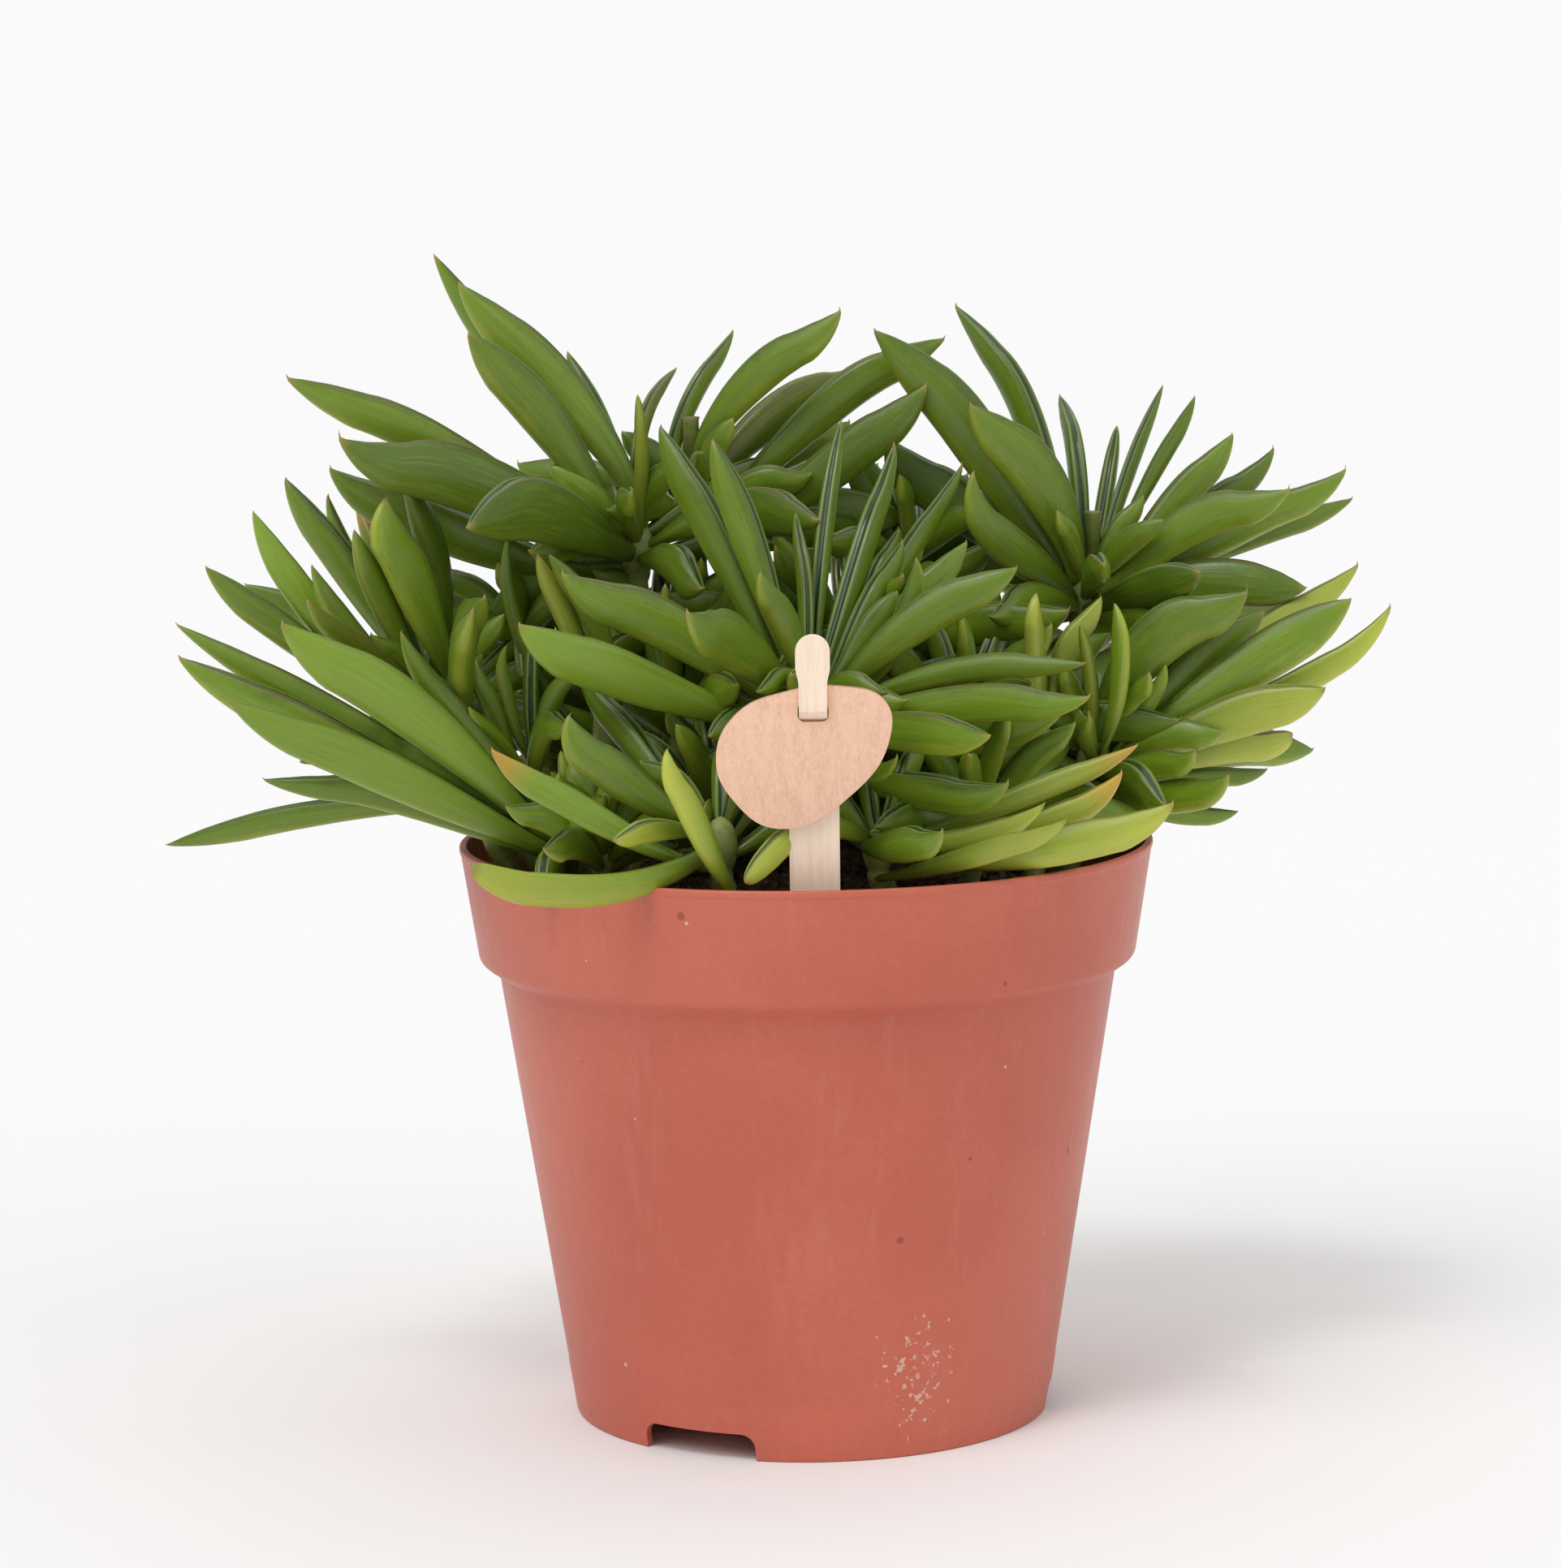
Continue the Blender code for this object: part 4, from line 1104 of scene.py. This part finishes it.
# Each shoot: its foot in the soil, the knob under its leaves, and how many of its leaves are separate
# solids. A leaf is its seat, its tip, the rise of its bow, where the bow peaks, its depth and its looks.
# A ring is a count, a first angle and an arc, then lengths, climbs and depths, first leaf to last.
shoots = {
    "back_left": dict(
        foot=(-16, 14), knob=(-29, 14, 149), radius=4.6, halfHeight=5.5, counted=6,
        leaves=[
            ((-32.5, 16, 153), (-64, 22, 201), -0.5, 1.0, 5),
            ((-31, 14, 154.5), (-59, 12, 196.5), 4.5, 0.6, 8),
            ((-32, 12, 153), (-57, 4, 188), 1.5, 1.4, 8),
            ((-33.5, 13, 151), (-88, -2, 181.5), 1.5, 2.3, 7),
            ((-32.5, 10.5, 149.5), (-78, -14, 172.5), 1, 1.1, 11, "dark"),
            ((-34, 14, 148.5), (-82, 11, 165), -5.5, 0.7, 8.5),
            ((-30, 17, 154), (-41, 26, 183.5), 2, 0.6, 4),
            ((-28.5, 11, 154), (-28, 2, 177), -0.5, 1.4, 2.5, "brown"),
            ((-28, 18, 152.5), (-22, 34, 180), 8, 1.0, 2.5, "brown"),
            ((-31, 9.5, 149), (-56, -28, 157), 5, 1.6, 11, "dark"),
        ],
        rings=[(6, 28, 150, (46, 36), (4, 20), (8, 6)), (7, 180, 190, (24, 15), (-18, 55), (7.5, 5))],
    ),
    "back_centre": dict(
        foot=(-10, 28), knob=(-19, 29, 153), radius=4.2, halfHeight=7, counted=4,
        stub=(-19.5, 28, 171.5),
        leaves=[
            ((-16, 28, 158), (7, 20, 191), 6, 0.6, 7),
            ((-20.5, 31, 159), (-12, 38, 186.5), 5, 0.6, 3.5),
            ((-14.5, 30, 155.5), (26, 36, 185), 3, 1.8, 7),
            ((-14.5, 28, 153.5), (22, 22, 177.5), -4, 0.6, 8, "dark"),
            ((-16, 32.5, 155), (14, 48, 181), 5, 0.7, 7.5, "brown"),
            ((-17, 25, 152), (3, -5, 156), 2, 1.0, 8.5, "dark"),
        ],
        rings=[(6, 10, 175, (34, 30), (2, 26), (8, 5.5)), (7, 190, 180, (24, 15), (-14, 60), (7, 4.5))],
    ),
    "back_right": dict(
        foot=(34, 20), knob=(50, 26, 138), radius=4.8, halfHeight=8, counted=9,
        stub=(51.5, 26, 154),
        leaves=[
            ((46, 26.5, 143.5), (13, 24, 187), 2.5, 1.8, 9.5),
            ((48, 29.5, 143.5), (28, 44, 190.5), 4, 1.6, 6),
            ((46.5, 23.5, 143), (29.5, 12, 174.5), 4, 0.8, 9.5),
            ((50, 30.5, 142), (47, 50, 173.5), 6.5, 1.4, 4.5),
            ((53.5, 27, 144), (70, 32, 174), -0.5, 1.2, 3),
            ((54.5, 25, 142), (76.5, 30, 167.5), -0.5, 0.6, 6),
            ((55, 27, 140.5), (84, 34, 165), -1.5, 0.6, 5.5),
            ((54, 22.5, 139.5), (85, 12, 159.5), 3, 1.2, 7.5),
            ((55, 25, 138.5), (96, 24.5, 162), 0, 0.6, 6.5),
            ((46.5, 22, 140), (30, 6, 163), -4.5, 2.0, 7),
            ((51.5, 30, 142.5), (57, 44, 168), 0.5, 1.4, 3.5),
            ((52.5, 29, 143.5), (65, 40, 175.5), 0, 1.3, 2.5),
            ((55, 26.5, 138.5), (98.5, 34, 155.5), 0.5, 0.9, 4.5),
            ((51.5, 21, 137.5), (68, -6, 146), 0, 1.0, 7, "dark"),
            ((54, 23, 137.5), (88.5, 16, 141), 3, 0.6, 8.5, "dark"),
            ((46.5, 28, 141), (16, 32, 168), -1.5, 1.0, 9, "dark"),
        ],
        rings=[(6, 20, 150, (36, 30), (0, 22), (7.5, 5)), (9, 185, 190, (26, 15), (-16, 58), (7, 4))],
    ),
    "left": dict(
        foot=(-43, 2), knob=(-62, 0, 122), radius=4.6, halfHeight=7, counted=3,
        leaves=[
            ((-65.5, 1.5, 127.5), (-89, 4, 163.5), 0, 1.0, 6),
            ((-66, -1.5, 126.5), (-93, -12, 159), -4.5, 0.8, 5.5, "light"),
            ((-66, -3, 122), (-101, -15, 150), -1.5, 0.8, 5.5),
            ((-65.5, 3, 125.5), (-83, 18, 159.5), -3.5, 0.9, 3.5),
            ((-64, 4, 125.5), (-79, 26, 158), -2.5, 1.0, 4, "ripeTip"),
            ((-64.5, 0.5, 128.5), (-68, -5, 163.5), 5.5, 1.1, 7, "dark"),
            ((-65, -0.5, 127.5), (-76, -11, 155.5), -1, 1.0, 5),
            ((-60.5, -0.5, 129), (-70, -9, 161), -2, 1.0, 8.5),
            ((-66.5, 1, 124.5), (-97, 6, 145), 2, 1.4, 5),
            ((-64.5, -4, 124.5), (-82, -34, 146), -1, 1.0, 4.5, "brown"),
            ((-64.5, -3.5, 126), (-83, -15, 150), -3, 1.0, 4),
            ((-57.5, 2, 118), (-36, 16, 114), 1, 1.0, 6.5, "dark"),
        ],
        rings=[(6, 40, 120, (42, 34), (2, 24), (7, 5)), (7, 200, 200, (22, 15), (-10, 55), (6, 4))],
    ),
    "outer_left": dict(
        foot=(-48, -14), knob=(-57, -12, 118), radius=3.2, halfHeight=5,
        leaves=[
            ((-58, -13.5, 123), (-53, -29, 146), 7, 1.0, 6.5),
            ((-57.5, -15.5, 119.5), (-54, -42, 145), 3, 1.0, 7),
        ],
    ),
    "low_left": dict(
        foot=(-35, -26), knob=(-41, -22, 101.5), radius=4.4, halfHeight=6, counted=4,
        leaves=[
            ((-45, -23.5, 104.5), (-86, -37, 143), 2, 1.0, 9, "light"),
            ((-44.5, -19.5, 104.5), (-107, -11, 140), -0.5, 0.6, 5.5),
            ((-44.5, -25, 102.5), (-94.5, -42, 130.5), 0, 1.0, 7.5, "light"),
            ((-45.5, -20, 101.5), (-110.5, -6, 101), 7.5, 0.6, 4.5),
            ((-45.5, -21.5, 104), (-106, -16, 135), -1, 0.7, 7),
            ((-46, -22.5, 101.5), (-91, -28, 115.5), 2.5, 1.4, 5),
            ((-42, -22, 108), (-67, -27, 140), -2.5, 1.0, 4.5),
        ],
        rings=[(6, 262, 110, (20, 14), (-4, 62), (6, 4))],
    ),
    "mid_left": dict(
        foot=(-28, -4), knob=(-34, -6, 120), radius=3.6, halfHeight=7,
        leaves=[
            ((-38, -5, 122), (-50, -6, 154), -5, 1.0, 2.5, "dark"),
            ((-36, -6.5, 126.5), (-45, -10, 151), 0.5, 1.0, 4, "yellow"),
            ((-33, -7.5, 126.5), (-43, -12, 151), 2.5, 1.0, 4),
        ],
    ),
    "small_left": dict(
        foot=(-36, -12), knob=(-46, -15, 112), radius=4.2, halfHeight=5,
        leaves=[
            ((-45, -19.5, 113.5), (-39, -34, 125), 4.5, 1.0, 5),
            ((-48.5, -17, 115.5), (-55, -20, 134), -0.5, 1.0, 3.5),
            ((-47.5, -19, 114.5), (-56, -28, 127), 0.5, 1.0, 2.5),
            ((-46.5, -15, 117.5), (-50, -17, 136), -2, 1.0, 2.5),
            ((-46, -14, 117.5), (-46, -10, 138), 0.5, 1.0, 3),
            ((-43.5, -16, 116.5), (-39, -20, 134), 1.5, 1.0, 3.5),
        ],
    ),
    "centre": dict(
        foot=(0, -12), knob=(1, -16, 122), radius=5, halfHeight=10, counted=9,
        leaves=[
            ((-4, -18.5, 122), (-47, -36, 142), -2, 1.0, 8.5, "light"),
            ((-4, -17, 124.5), (-40, -28, 150), 1.5, 1.0, 8.5),
            ((-3, -18.5, 127.5), (-19, -47, 145), 1, 1.0, 9.5),
            ((-2.5, -13, 128), (-24, 0, 172), 0.5, 1.0, 6.5),
            ((1.5, -12.5, 130), (7, 6, 172), 1, 1.0, 4),
            ((2.5, -12, 128), (16, 8, 168), 1, 1.0, 5.5),
            ((5.5, -18, 126), (36, -22, 149), 2.5, 1.0, 7),
            ((5, -19.5, 122.5), (47, -44, 130), 0.5, 1.0, 6.5),
            ((3.5, -20.5, 119.5), (33, -52, 117), -5, 1.0, 6.5),
            ((-2, -14.5, 130.5), (-15, -10, 170), 0.5, 1.0, 6),
            ((-0.5, -19.5, 130), (-7, -26, 149), 0.5, 1.0, 5.5),
            ((0, -13.5, 131.5), (-1, -6, 157), 0.5, 1.0, 3),
            ((4.5, -13, 128), (17, -2, 152), 0.5, 1.0, 4.5),
            ((5, -15.5, 129.5), (16, -12, 144), -0.5, 1.0, 5),
            ((5, -12.5, 123.5), (28, -6, 152), 1, 1.0, 5.5),
            ((6, -15.5, 126.5), (19, -16, 150), -4, 1.0, 4.5),
            ((3.5, -11.5, 125.5), (28, 14, 164), -0.5, 1.0, 4),
            ((6, -18, 123.5), (47, -34, 134), 3, 1.0, 4.5),
            ((6, -17.5, 121.5), (44, -28, 126), -3.5, 1.0, 8),
            ((3.5, -20.5, 122.5), (30, -58, 125), -0.5, 1.0, 7),
            ((2.5, -21, 121), (15, -50, 121), -4.5, 1.0, 3.5),
            ((-0.5, -21, 124), (-8, -36, 130), 4.5, 1.0, 3.5),
            ((4, -20.5, 124.5), (14, -30, 129), 3.5, 1.0, 4),
        ],
        rings=[(5, 30, 130, (40, 30), (10, 30), (8, 6)), (6, 190, 150, (22, 15), (-25, 40), (6.5, 4.5))],
    ),
    "small_right": dict(
        foot=(38, -16), knob=(41, -6, 116), radius=3, halfHeight=4,
        leaves=[
            ((40.5, -6, 120.5), (40, -8, 143), -0.5, 1.0, 5, "yellow"),
            ((42.5, -5, 120), (51, -2, 142), 2, 1.0, 4, "yellow"),
        ],
    ),
    "right": dict(
        foot=(44, 0), knob=(50, 0, 112), radius=4.8, halfHeight=9, counted=4,
        leaves=[
            ((53, 1.5, 119), (76, -5, 143.5), 4.5, 1.0, 9.5),
            ((55, -0.5, 115.5), (94, -4, 141), -0.5, 1.0, 8.5),
            ((55, 1.5, 114), (102, 8, 139), -4.5, 1.4, 5, "yellow"),
            ((54.5, -2.5, 113), (89, -10, 126.5), 0.5, 1.4, 8, "yellow"),
            ((54.5, 2, 115), (80, 6, 138), 1.5, 1.0, 7),
            ((54, 3.5, 113.5), (98, 22, 145), 0, 1.0, 6.5, "yellow"),
            ((55, 0, 111.5), (85, 6, 116.5), 0, 1.0, 5.5, "yellow", "blunt"),
            ((51.5, -5, 112), (66, -18, 117), -1, 1.0, 5),
            ((54.5, 2, 110), (81, 10, 110), -1, 1.0, 3.5),
            ((51.5, -5, 110), (71.5, -20, 113), -3.5, 1.0, 6),
            ((55, 0.5, 109), (75.5, 6, 103), -3.5, 0.8, 3.5),
            ((51, -4.5, 117.5), (53, -8, 141), -4, 1.0, 3.5),
            ((49, -4, 117.5), (47, -12, 138), 0.5, 1.0, 2.5),
            ((54, -2.5, 116), (62, -4, 130), -1, 1.0, 3),
        ],
        rings=[(6, 30, 120, (42, 34), (2, 22), (7.5, 5)), (8, 175, 190, (24, 15), (-14, 60), (6.5, 4))],
    ),
    "front_right": dict(
        foot=(14, -34), knob=(12, -37, 103), radius=4, halfHeight=4, counted=3,
        leaves=[
            ((16, -39, 103), (60, -50, 113), -4, 1.0, 6.5, "yellow"),
            ((16, -36.5, 105), (55, -40, 121), -1, 1.0, 4, "yellow", "ripeTip"),
            ((13, -39.5, 107), (39, -51, 113), -4, 1.0, 4, "yellow"),
            ((16.5, -36.5, 103.5), (52, -42, 117), -4.5, 1.0, 5, "yellow", "ripeTip"),
            ((13.5, -39.5, 99.5), (42, -61, 112), -1.5, 1.0, 4, "yellow"),
            ((11, -41, 105), (22, -58, 110), -1.5, 1.0, 6),
            ((8.5, -39.5, 104), (-10, -57, 101), 5.5, 1.0, 4.5, "yellow", "blunt"),
        ],
        rings=[(6, 30, 150, (24, 15), (10, 60), (6, 4))],
    ),
    "front_left": dict(
        foot=(-13, -38), knob=(-14, -43, 105), radius=4.2, halfHeight=5, counted=4,
        leaves=[
            ((-12.5, -49.5, 99.5), (-22, -54, 123), -1.5, 1.0, 4.5, "yellow"),
            ((-17.5, -46, 105), (-53, -76, 107.5), -5.5, 1.0, 5.5, "light", "yellow", "blunt"),
            ((-15, -44, 103), (-51, -50, 123), -3, 0.7, 5, "light", "ripeTip"),
            ((-17, -41, 108.5), (-38, -46, 128), -3, 1.2, 7),
            ((-16.5, -39.5, 107), (-38, -18, 132), -1.5, 1.0, 5.5),
            ((-18, -43.5, 107), (-31, -60, 109), 1, 1.0, 4, "yellow"),
        ],
        rings=[(6, 20, 150, (20, 14), (10, 60), (5.5, 4))],
    ),
    "high_rear": dict(
        foot=(12, 36), knob=(19, 38, 143), radius=3, halfHeight=4,
        leaves=[
            ((18, 37.5, 146.5), (10.5, 36, 166), -1, 1.0, 7, "dark"),
            ((20, 38, 146.5), (20, 34, 161), 1, 1.0, 7, "dark"),
            ((17, 38, 145.5), (4, 36, 158), -1, 1.0, 7, "dark"),
            ((21.5, 38, 145.5), (34, 36, 153), -1, 1.0, 7, "dark"),
        ],
        rings=[(11, 60, 360, (27, 16), (-12, 62), (6.5, 4.5))],
    ),
    "outer_back": dict(
        foot=(-40, 14), knob=(-49, 16, 133), radius=3, halfHeight=4,
        leaves=[
            ((-50.5, 18, 136.5), (-66, 23, 147), -1, 1.0, 7, "dark"),
            ((-51.5, 18, 132.5), (-65, 24, 130), -1, 1.0, 6.5, "dark"),
            ((-46.5, 18, 135.5), (-27, 26, 145), -1, 1.0, 7, "dark"),
        ],
        rings=[(11, 50, 360, (25, 14), (-8, 55), (6.5, 4.5))],
    ),
}
# shoots deeper in the plant: foot, knob, its radius and half height, then one ring of leaves
rosettes = {
    "inner_left": ((-20, 8), (-22, 6, 117), 4, 6, (13, 200, 360, (44, 24), (10, 70), (7.5, 4.5))),
    "inner_back": ((8, 18), (9, 20, 126), 4, 6, (14, 30, 360, (44, 22), (6, 66), (8, 4.5))),
    "inner_right": ((25, 4), (27, 4, 113), 4, 6, (14, 120, 360, (38, 22), (10, 70), (7.5, 4.5))),
    "rear_left": ((-32, 32), (-38, 32, 118), 4, 6, (13, 90, 360, (42, 24), (6, 62), (8, 5))),
    "rear_centre": ((0, 42), (-2, 40, 112), 4, 6, (12, 50, 360, (36, 24), (10, 70), (8, 5))),
    "rear_right": ((28, 38), (34, 38, 114), 4, 6, (12, 70, 360, (38, 24), (8, 66), (8, 5))),
    "low_centre": ((-14, -20), (-15, -21, 105), 3.4, 4, (14, 40, 360, (25, 17), (8, 74), (6, 4))),
    "low_right": ((27, -20), (29, -21, 104), 3.4, 4, (14, 10, 360, (27, 18), (6, 74), (6.5, 4))),
    "low_front": ((-33, -30), (-34, -31, 101), 3.2, 3.5, (13, 20, 360, (18, 13), (14, 74), (5.5, 4))),
    "low_rear": ((-2, 10), (-2, 12, 104), 3.4, 4, (16, 10, 360, (34, 20), (10, 74), (7, 4.5))),
    "far_left": ((-30, 44), (-32, 45, 102), 3.2, 3.5, (15, 100, 360, (26, 15), (6, 70), (6.5, 4))),
    "far_centre": ((2, 51), (2, 51, 101), 3.2, 3.5, (14, 20, 360, (26, 15), (8, 70), (6.5, 4))),
    "far_right": ((33, 42), (35, 42, 101), 3.2, 3.5, (15, 60, 360, (25, 15), (4, 70), (6.5, 4))),
    "under_left": ((-22, 18), (-25, 21, 134), 3, 4, (12, 20, 360, (25, 14), (-14, 45), (7, 4.5))),
}
goldenShare = 0.618
farLimit = 62.0  # no leaf grows further back than this
shortest = 9.0


def ringRows(knob, radius, ring):
    count, start, arc, lengths, climbs, depths = ring
    rows = []
    for index in range(count):
        share = index / (count - 1)
        angle = math.radians(start + arc * (index * goldenShare % 1.0))
        length, climb, depth = (a + (b - a) * share for a, b in (lengths, climbs, depths))
        climb = math.radians(climb)
        level = Vector((math.cos(angle), math.sin(angle), 0.0)) * math.cos(climb)
        ahead = level + Vector((0.0, 0.0, math.sin(climb)))
        seat = Vector(knob) + ahead * radius + Vector((0.0, 0.0, (share - 0.5) * 4))
        if ahead.y > 0:
            length = max(shortest, min(length, (farLimit - seat.y) / ahead.y))
        rows.append((seat, seat + ahead * length, 2.5 - 2 * share, 1.3, depth))
    return rows


leafPoints = ("leafSeat", "leafTip")
leafNumbers = (
    "leafBow", "leafPeak", "leafDepth", "leafThickness", "leafSweep", "leafRoll", "leafHook",
    "leafTaper", "leafChance",
)
# the words at the end of a leaf's row, and the mark that each one sets
lookMarks = dict(
    # light gives a paler green, partly the leaf's own tone and partly painted light
    light="leafPaleGreenAndPaintedLight",
    yellow="leafYellow",
    dark="leafDark",
    brown="leafBrown",
    ripeTip="leafRipe",
    blunt="leafBlunt",
)
lookStrength = 0.75


def markPoints(mesh, name, kind, values):
    layer = mesh.attributes.new(name, kind, "POINT")
    key = "vector" if kind == "FLOAT_VECTOR" else "value"
    flat = [c for value in values for c in value] if key == "vector" else values
    layer.data.foreach_set(key, flat)


def makeLeaves(name, rows, tree, skin):
    marks = {label: [] for label in leafPoints}
    marks.update({label: [] for label in (*leafNumbers, *lookMarks.values())})
    for index, (seat, tip, bow, peak, depth, *looks) in enumerate(rows):
        dice = random.Random(f"{leaf['seed']} {name} {index}")
        seat, tip = Vector(seat) * mm + potAxis, Vector(tip) * mm + potAxis
        marks["leafSeat"].append(seat - (tip - seat).normalized() * leaf["sink"] * mm)
        marks["leafTip"].append(tip)
        marks["leafBow"].append(bow * mm)
        marks["leafPeak"].append(peak)
        marks["leafDepth"].append(depth * mm)
        thickness = min(leaf["thickest"], leaf["thinnest"] + leaf["thicken"] * depth)
        marks["leafThickness"].append(thickness * mm)
        marks["leafSweep"].append(dice.uniform(-1, 1) * leaf["sweep"] * mm)
        marks["leafRoll"].append(math.radians(dice.uniform(-1, 1) * leaf["roll"]))
        marks["leafHook"].append(dice.uniform(0.1, 0.65) * depth / 2 * mm)
        marks["leafTaper"].append(dice.uniform(0.85, 1.3))
        marks["leafChance"].append(dice.random())
        for look, label in lookMarks.items():
            marks[label].append(lookStrength if look in looks else 0.0)
    mesh = bpy.data.meshes.new(name)
    mesh.from_pydata(marks["leafSeat"], [], [])
    for label, values in marks.items():
        markPoints(mesh, label, "FLOAT_VECTOR" if label in leafPoints else "FLOAT", values)
    host = newPiece(name + "_host", mesh)
    values = {
        "Stations": leaf["stations"],
        "Sides": leaf["sides"] + 1,
        "Window Depth": leaf["windowDepth"] * mm,
        "Skin": skin,
    }
    runNodes(host, tree, values)
    return frozen(host, name)


stem = dict(
    radius=2.1,
    knobShare=0.66,
    depth=6.0,
    sides=20,
    stubRadius=1.5,
    stubLength=13.0,
    stubSides=16,
    riseSteps=32,
    knobSteps=16,
    ringEvery=7.0,
    ringHeight=0.22,
    colour=(110, 126, 54),
    scarColour=(126, 104, 66),
    paleColour=(146, 158, 84),
    dotColour=(92, 80, 44),
)


def stemMaterial():
    material, tree, shader, place = newMaterial("fleshyStem", 0.45, 0.45)
    cloud, fine = mottle(tree, place, 90.0, 900.0, 0.4)
    colour = blend(tree, ramp(tree, cloud, 0.35, 0.7), paint(*stem["colour"]), paint(*stem["paleColour"]))
    colour = blend(tree, readMark(tree, "stemScar"), colour, paint(*stem["scarColour"]))
    dots = specks(tree, place, 900.0, 0.2, 0.2)
    colour = blend(tree, times(tree, dots, 0.3), colour, paint(*stem["dotColour"]))
    tree.links.new(colour, shader.inputs["Base Color"])
    tree.links.new(ramp(tree, fine, 0.3, 0.7, 0.4, 0.55), shader.inputs["Roughness"])
    bumped(tree, shader, cloud, 0.2, 0.0004)
    return material


def bezierAt(points, share):
    while len(points) > 1:
        points = [a.lerp(b, share) for a, b in zip(points, points[1:])]
    return points[0]


def closedTube(shape, rings):
    for first, second in zip(rings, rings[1:]):
        for corner in range(len(first)):
            after = (corner + 1) % len(first)
            shape.faces.new((first[corner], first[after], second[after], second[corner]))
    shape.faces.new(rings[0])
    shape.faces.new(rings[-1])


def addStub(shape, scarLayer, top):
    # the healed end of a shoot that was cut off
    radius, sides = stem["stubRadius"], stem["stubSides"]
    rings = []
    for height, share, scar in (
        (-stem["stubLength"], 1.0, 0.0),
        (-0.6, 0.95, 0.1),
        (-0.1, 1.08, 0.6),
        (0.0, 0.8, 1.0),
    ):
        ring = []
        for corner in range(sides):
            angle = math.tau * corner / sides
            spoke = Vector((math.cos(angle), math.sin(angle), 0.0)) * radius * share
            vertex = shape.verts.new((Vector(top) + spoke + Vector((0.0, 0.0, height))) * mm + potAxis)
            vertex[scarLayer] = scar
            ring.append(vertex)
        rings.append(ring)
    closedTube(shape, rings)


def makeStem(name, shoot, material):
    # a stem that rises from the soil and swells into the knob under the leaves
    foot, radius, half = shoot["foot"], shoot["radius"], shoot["halfHeight"]
    knob = Vector(shoot["knob"])
    ground = soilHeight(*foot)
    base = Vector((foot[0], foot[1], ground - stem["depth"]))
    above = Vector((foot[0], foot[1], ground + 4.0))
    under = knob - Vector((0.0, 0.0, half * 0.95))
    bend = under - Vector((0.0, 0.0, min(8.0, (under.z - above.z) * 0.3 + 1.0)))
    path, radii, scars = [], [], []
    length = (under - base).length
    for step in range(stem["riseSteps"] + 1):
        share = step / stem["riseSteps"]
        path.append(bezierAt([base, above, bend, under], share))
        ring = math.sin(share * length / stem["ringEvery"] * math.tau)
        ridge = max(0.0, ring - 0.75) * 4
        radii.append(stem["radius"] * 0.92 + stem["ringHeight"] * ridge)
        scars.append(0.55 * ridge)
    for step in range(1, stem["knobSteps"] + 1):
        share = -0.9 + 1.89 * step / stem["knobSteps"]
        path.append(knob + Vector((0.0, 0.0, half * share)))
        radii.append(max(0.3, radius * stem["knobShare"] * math.sqrt(max(0.0, 1 - share * share))))
        scars.append(0.15)
    shape = bmesh.new()
    scarLayer = shape.verts.layers.float.new("stemScar")
    rings = []
    for index, (place, ringRadius) in enumerate(zip(path, radii)):
        ahead = (path[min(index + 1, len(path) - 1)] - path[max(index - 1, 0)]).normalized()
        side = ahead.cross(Vector((0.0, 1.0, 0.0))).normalized()
        front = side.cross(ahead)
        ring = []
        for corner in range(stem["sides"]):
            angle = math.tau * corner / stem["sides"]
            spoke = side * math.cos(angle) + front * math.sin(angle)
            vertex = shape.verts.new((place + spoke * ringRadius) * mm + potAxis)
            vertex[scarLayer] = scars[index]
            ring.append(vertex)
        rings.append(ring)
    closedTube(shape, rings)
    if "stub" in shoot:
        addStub(shape, scarLayer, shoot["stub"])
    bmesh.ops.recalc_face_normals(shape, faces=shape.faces)
    mesh = meshFrom(shape, name)
    mesh.shade_smooth()
    return newPiece(name, mesh, material)


def makeShoots():
    tree, skin, flesh = leafTree(), leafMaterial(), stemMaterial()
    everyShoot = dict(shoots)
    for name, (foot, knob, radius, half, ring) in rosettes.items():
        place = dict(foot=foot, knob=knob, radius=radius, halfHeight=half)
        everyShoot[name] = dict(place, leaves=[], rings=[ring])
    for name, shoot in everyShoot.items():
        rows = list(shoot["leaves"])
        for ring in shoot.get("rings", []):
            rows += ringRows(shoot["knob"], shoot["radius"], ring)
        leaves = makeLeaves(f"shoot_{name}_leaves", rows, tree, skin)
        stalk = makeStem(f"shoot_{name}_stem", shoot, flesh)
        numbered = [f"leaf_{name}_{i + 1}" for i in range(shoot.get("counted", 0))]
        settle(leaves, "leaf_green", *numbered)
        settle(stalk, "stem_green", *(["stem_" + name] if numbered else []))
        print("shoot", name, "with", len(rows), "leaves")


makeShoots()
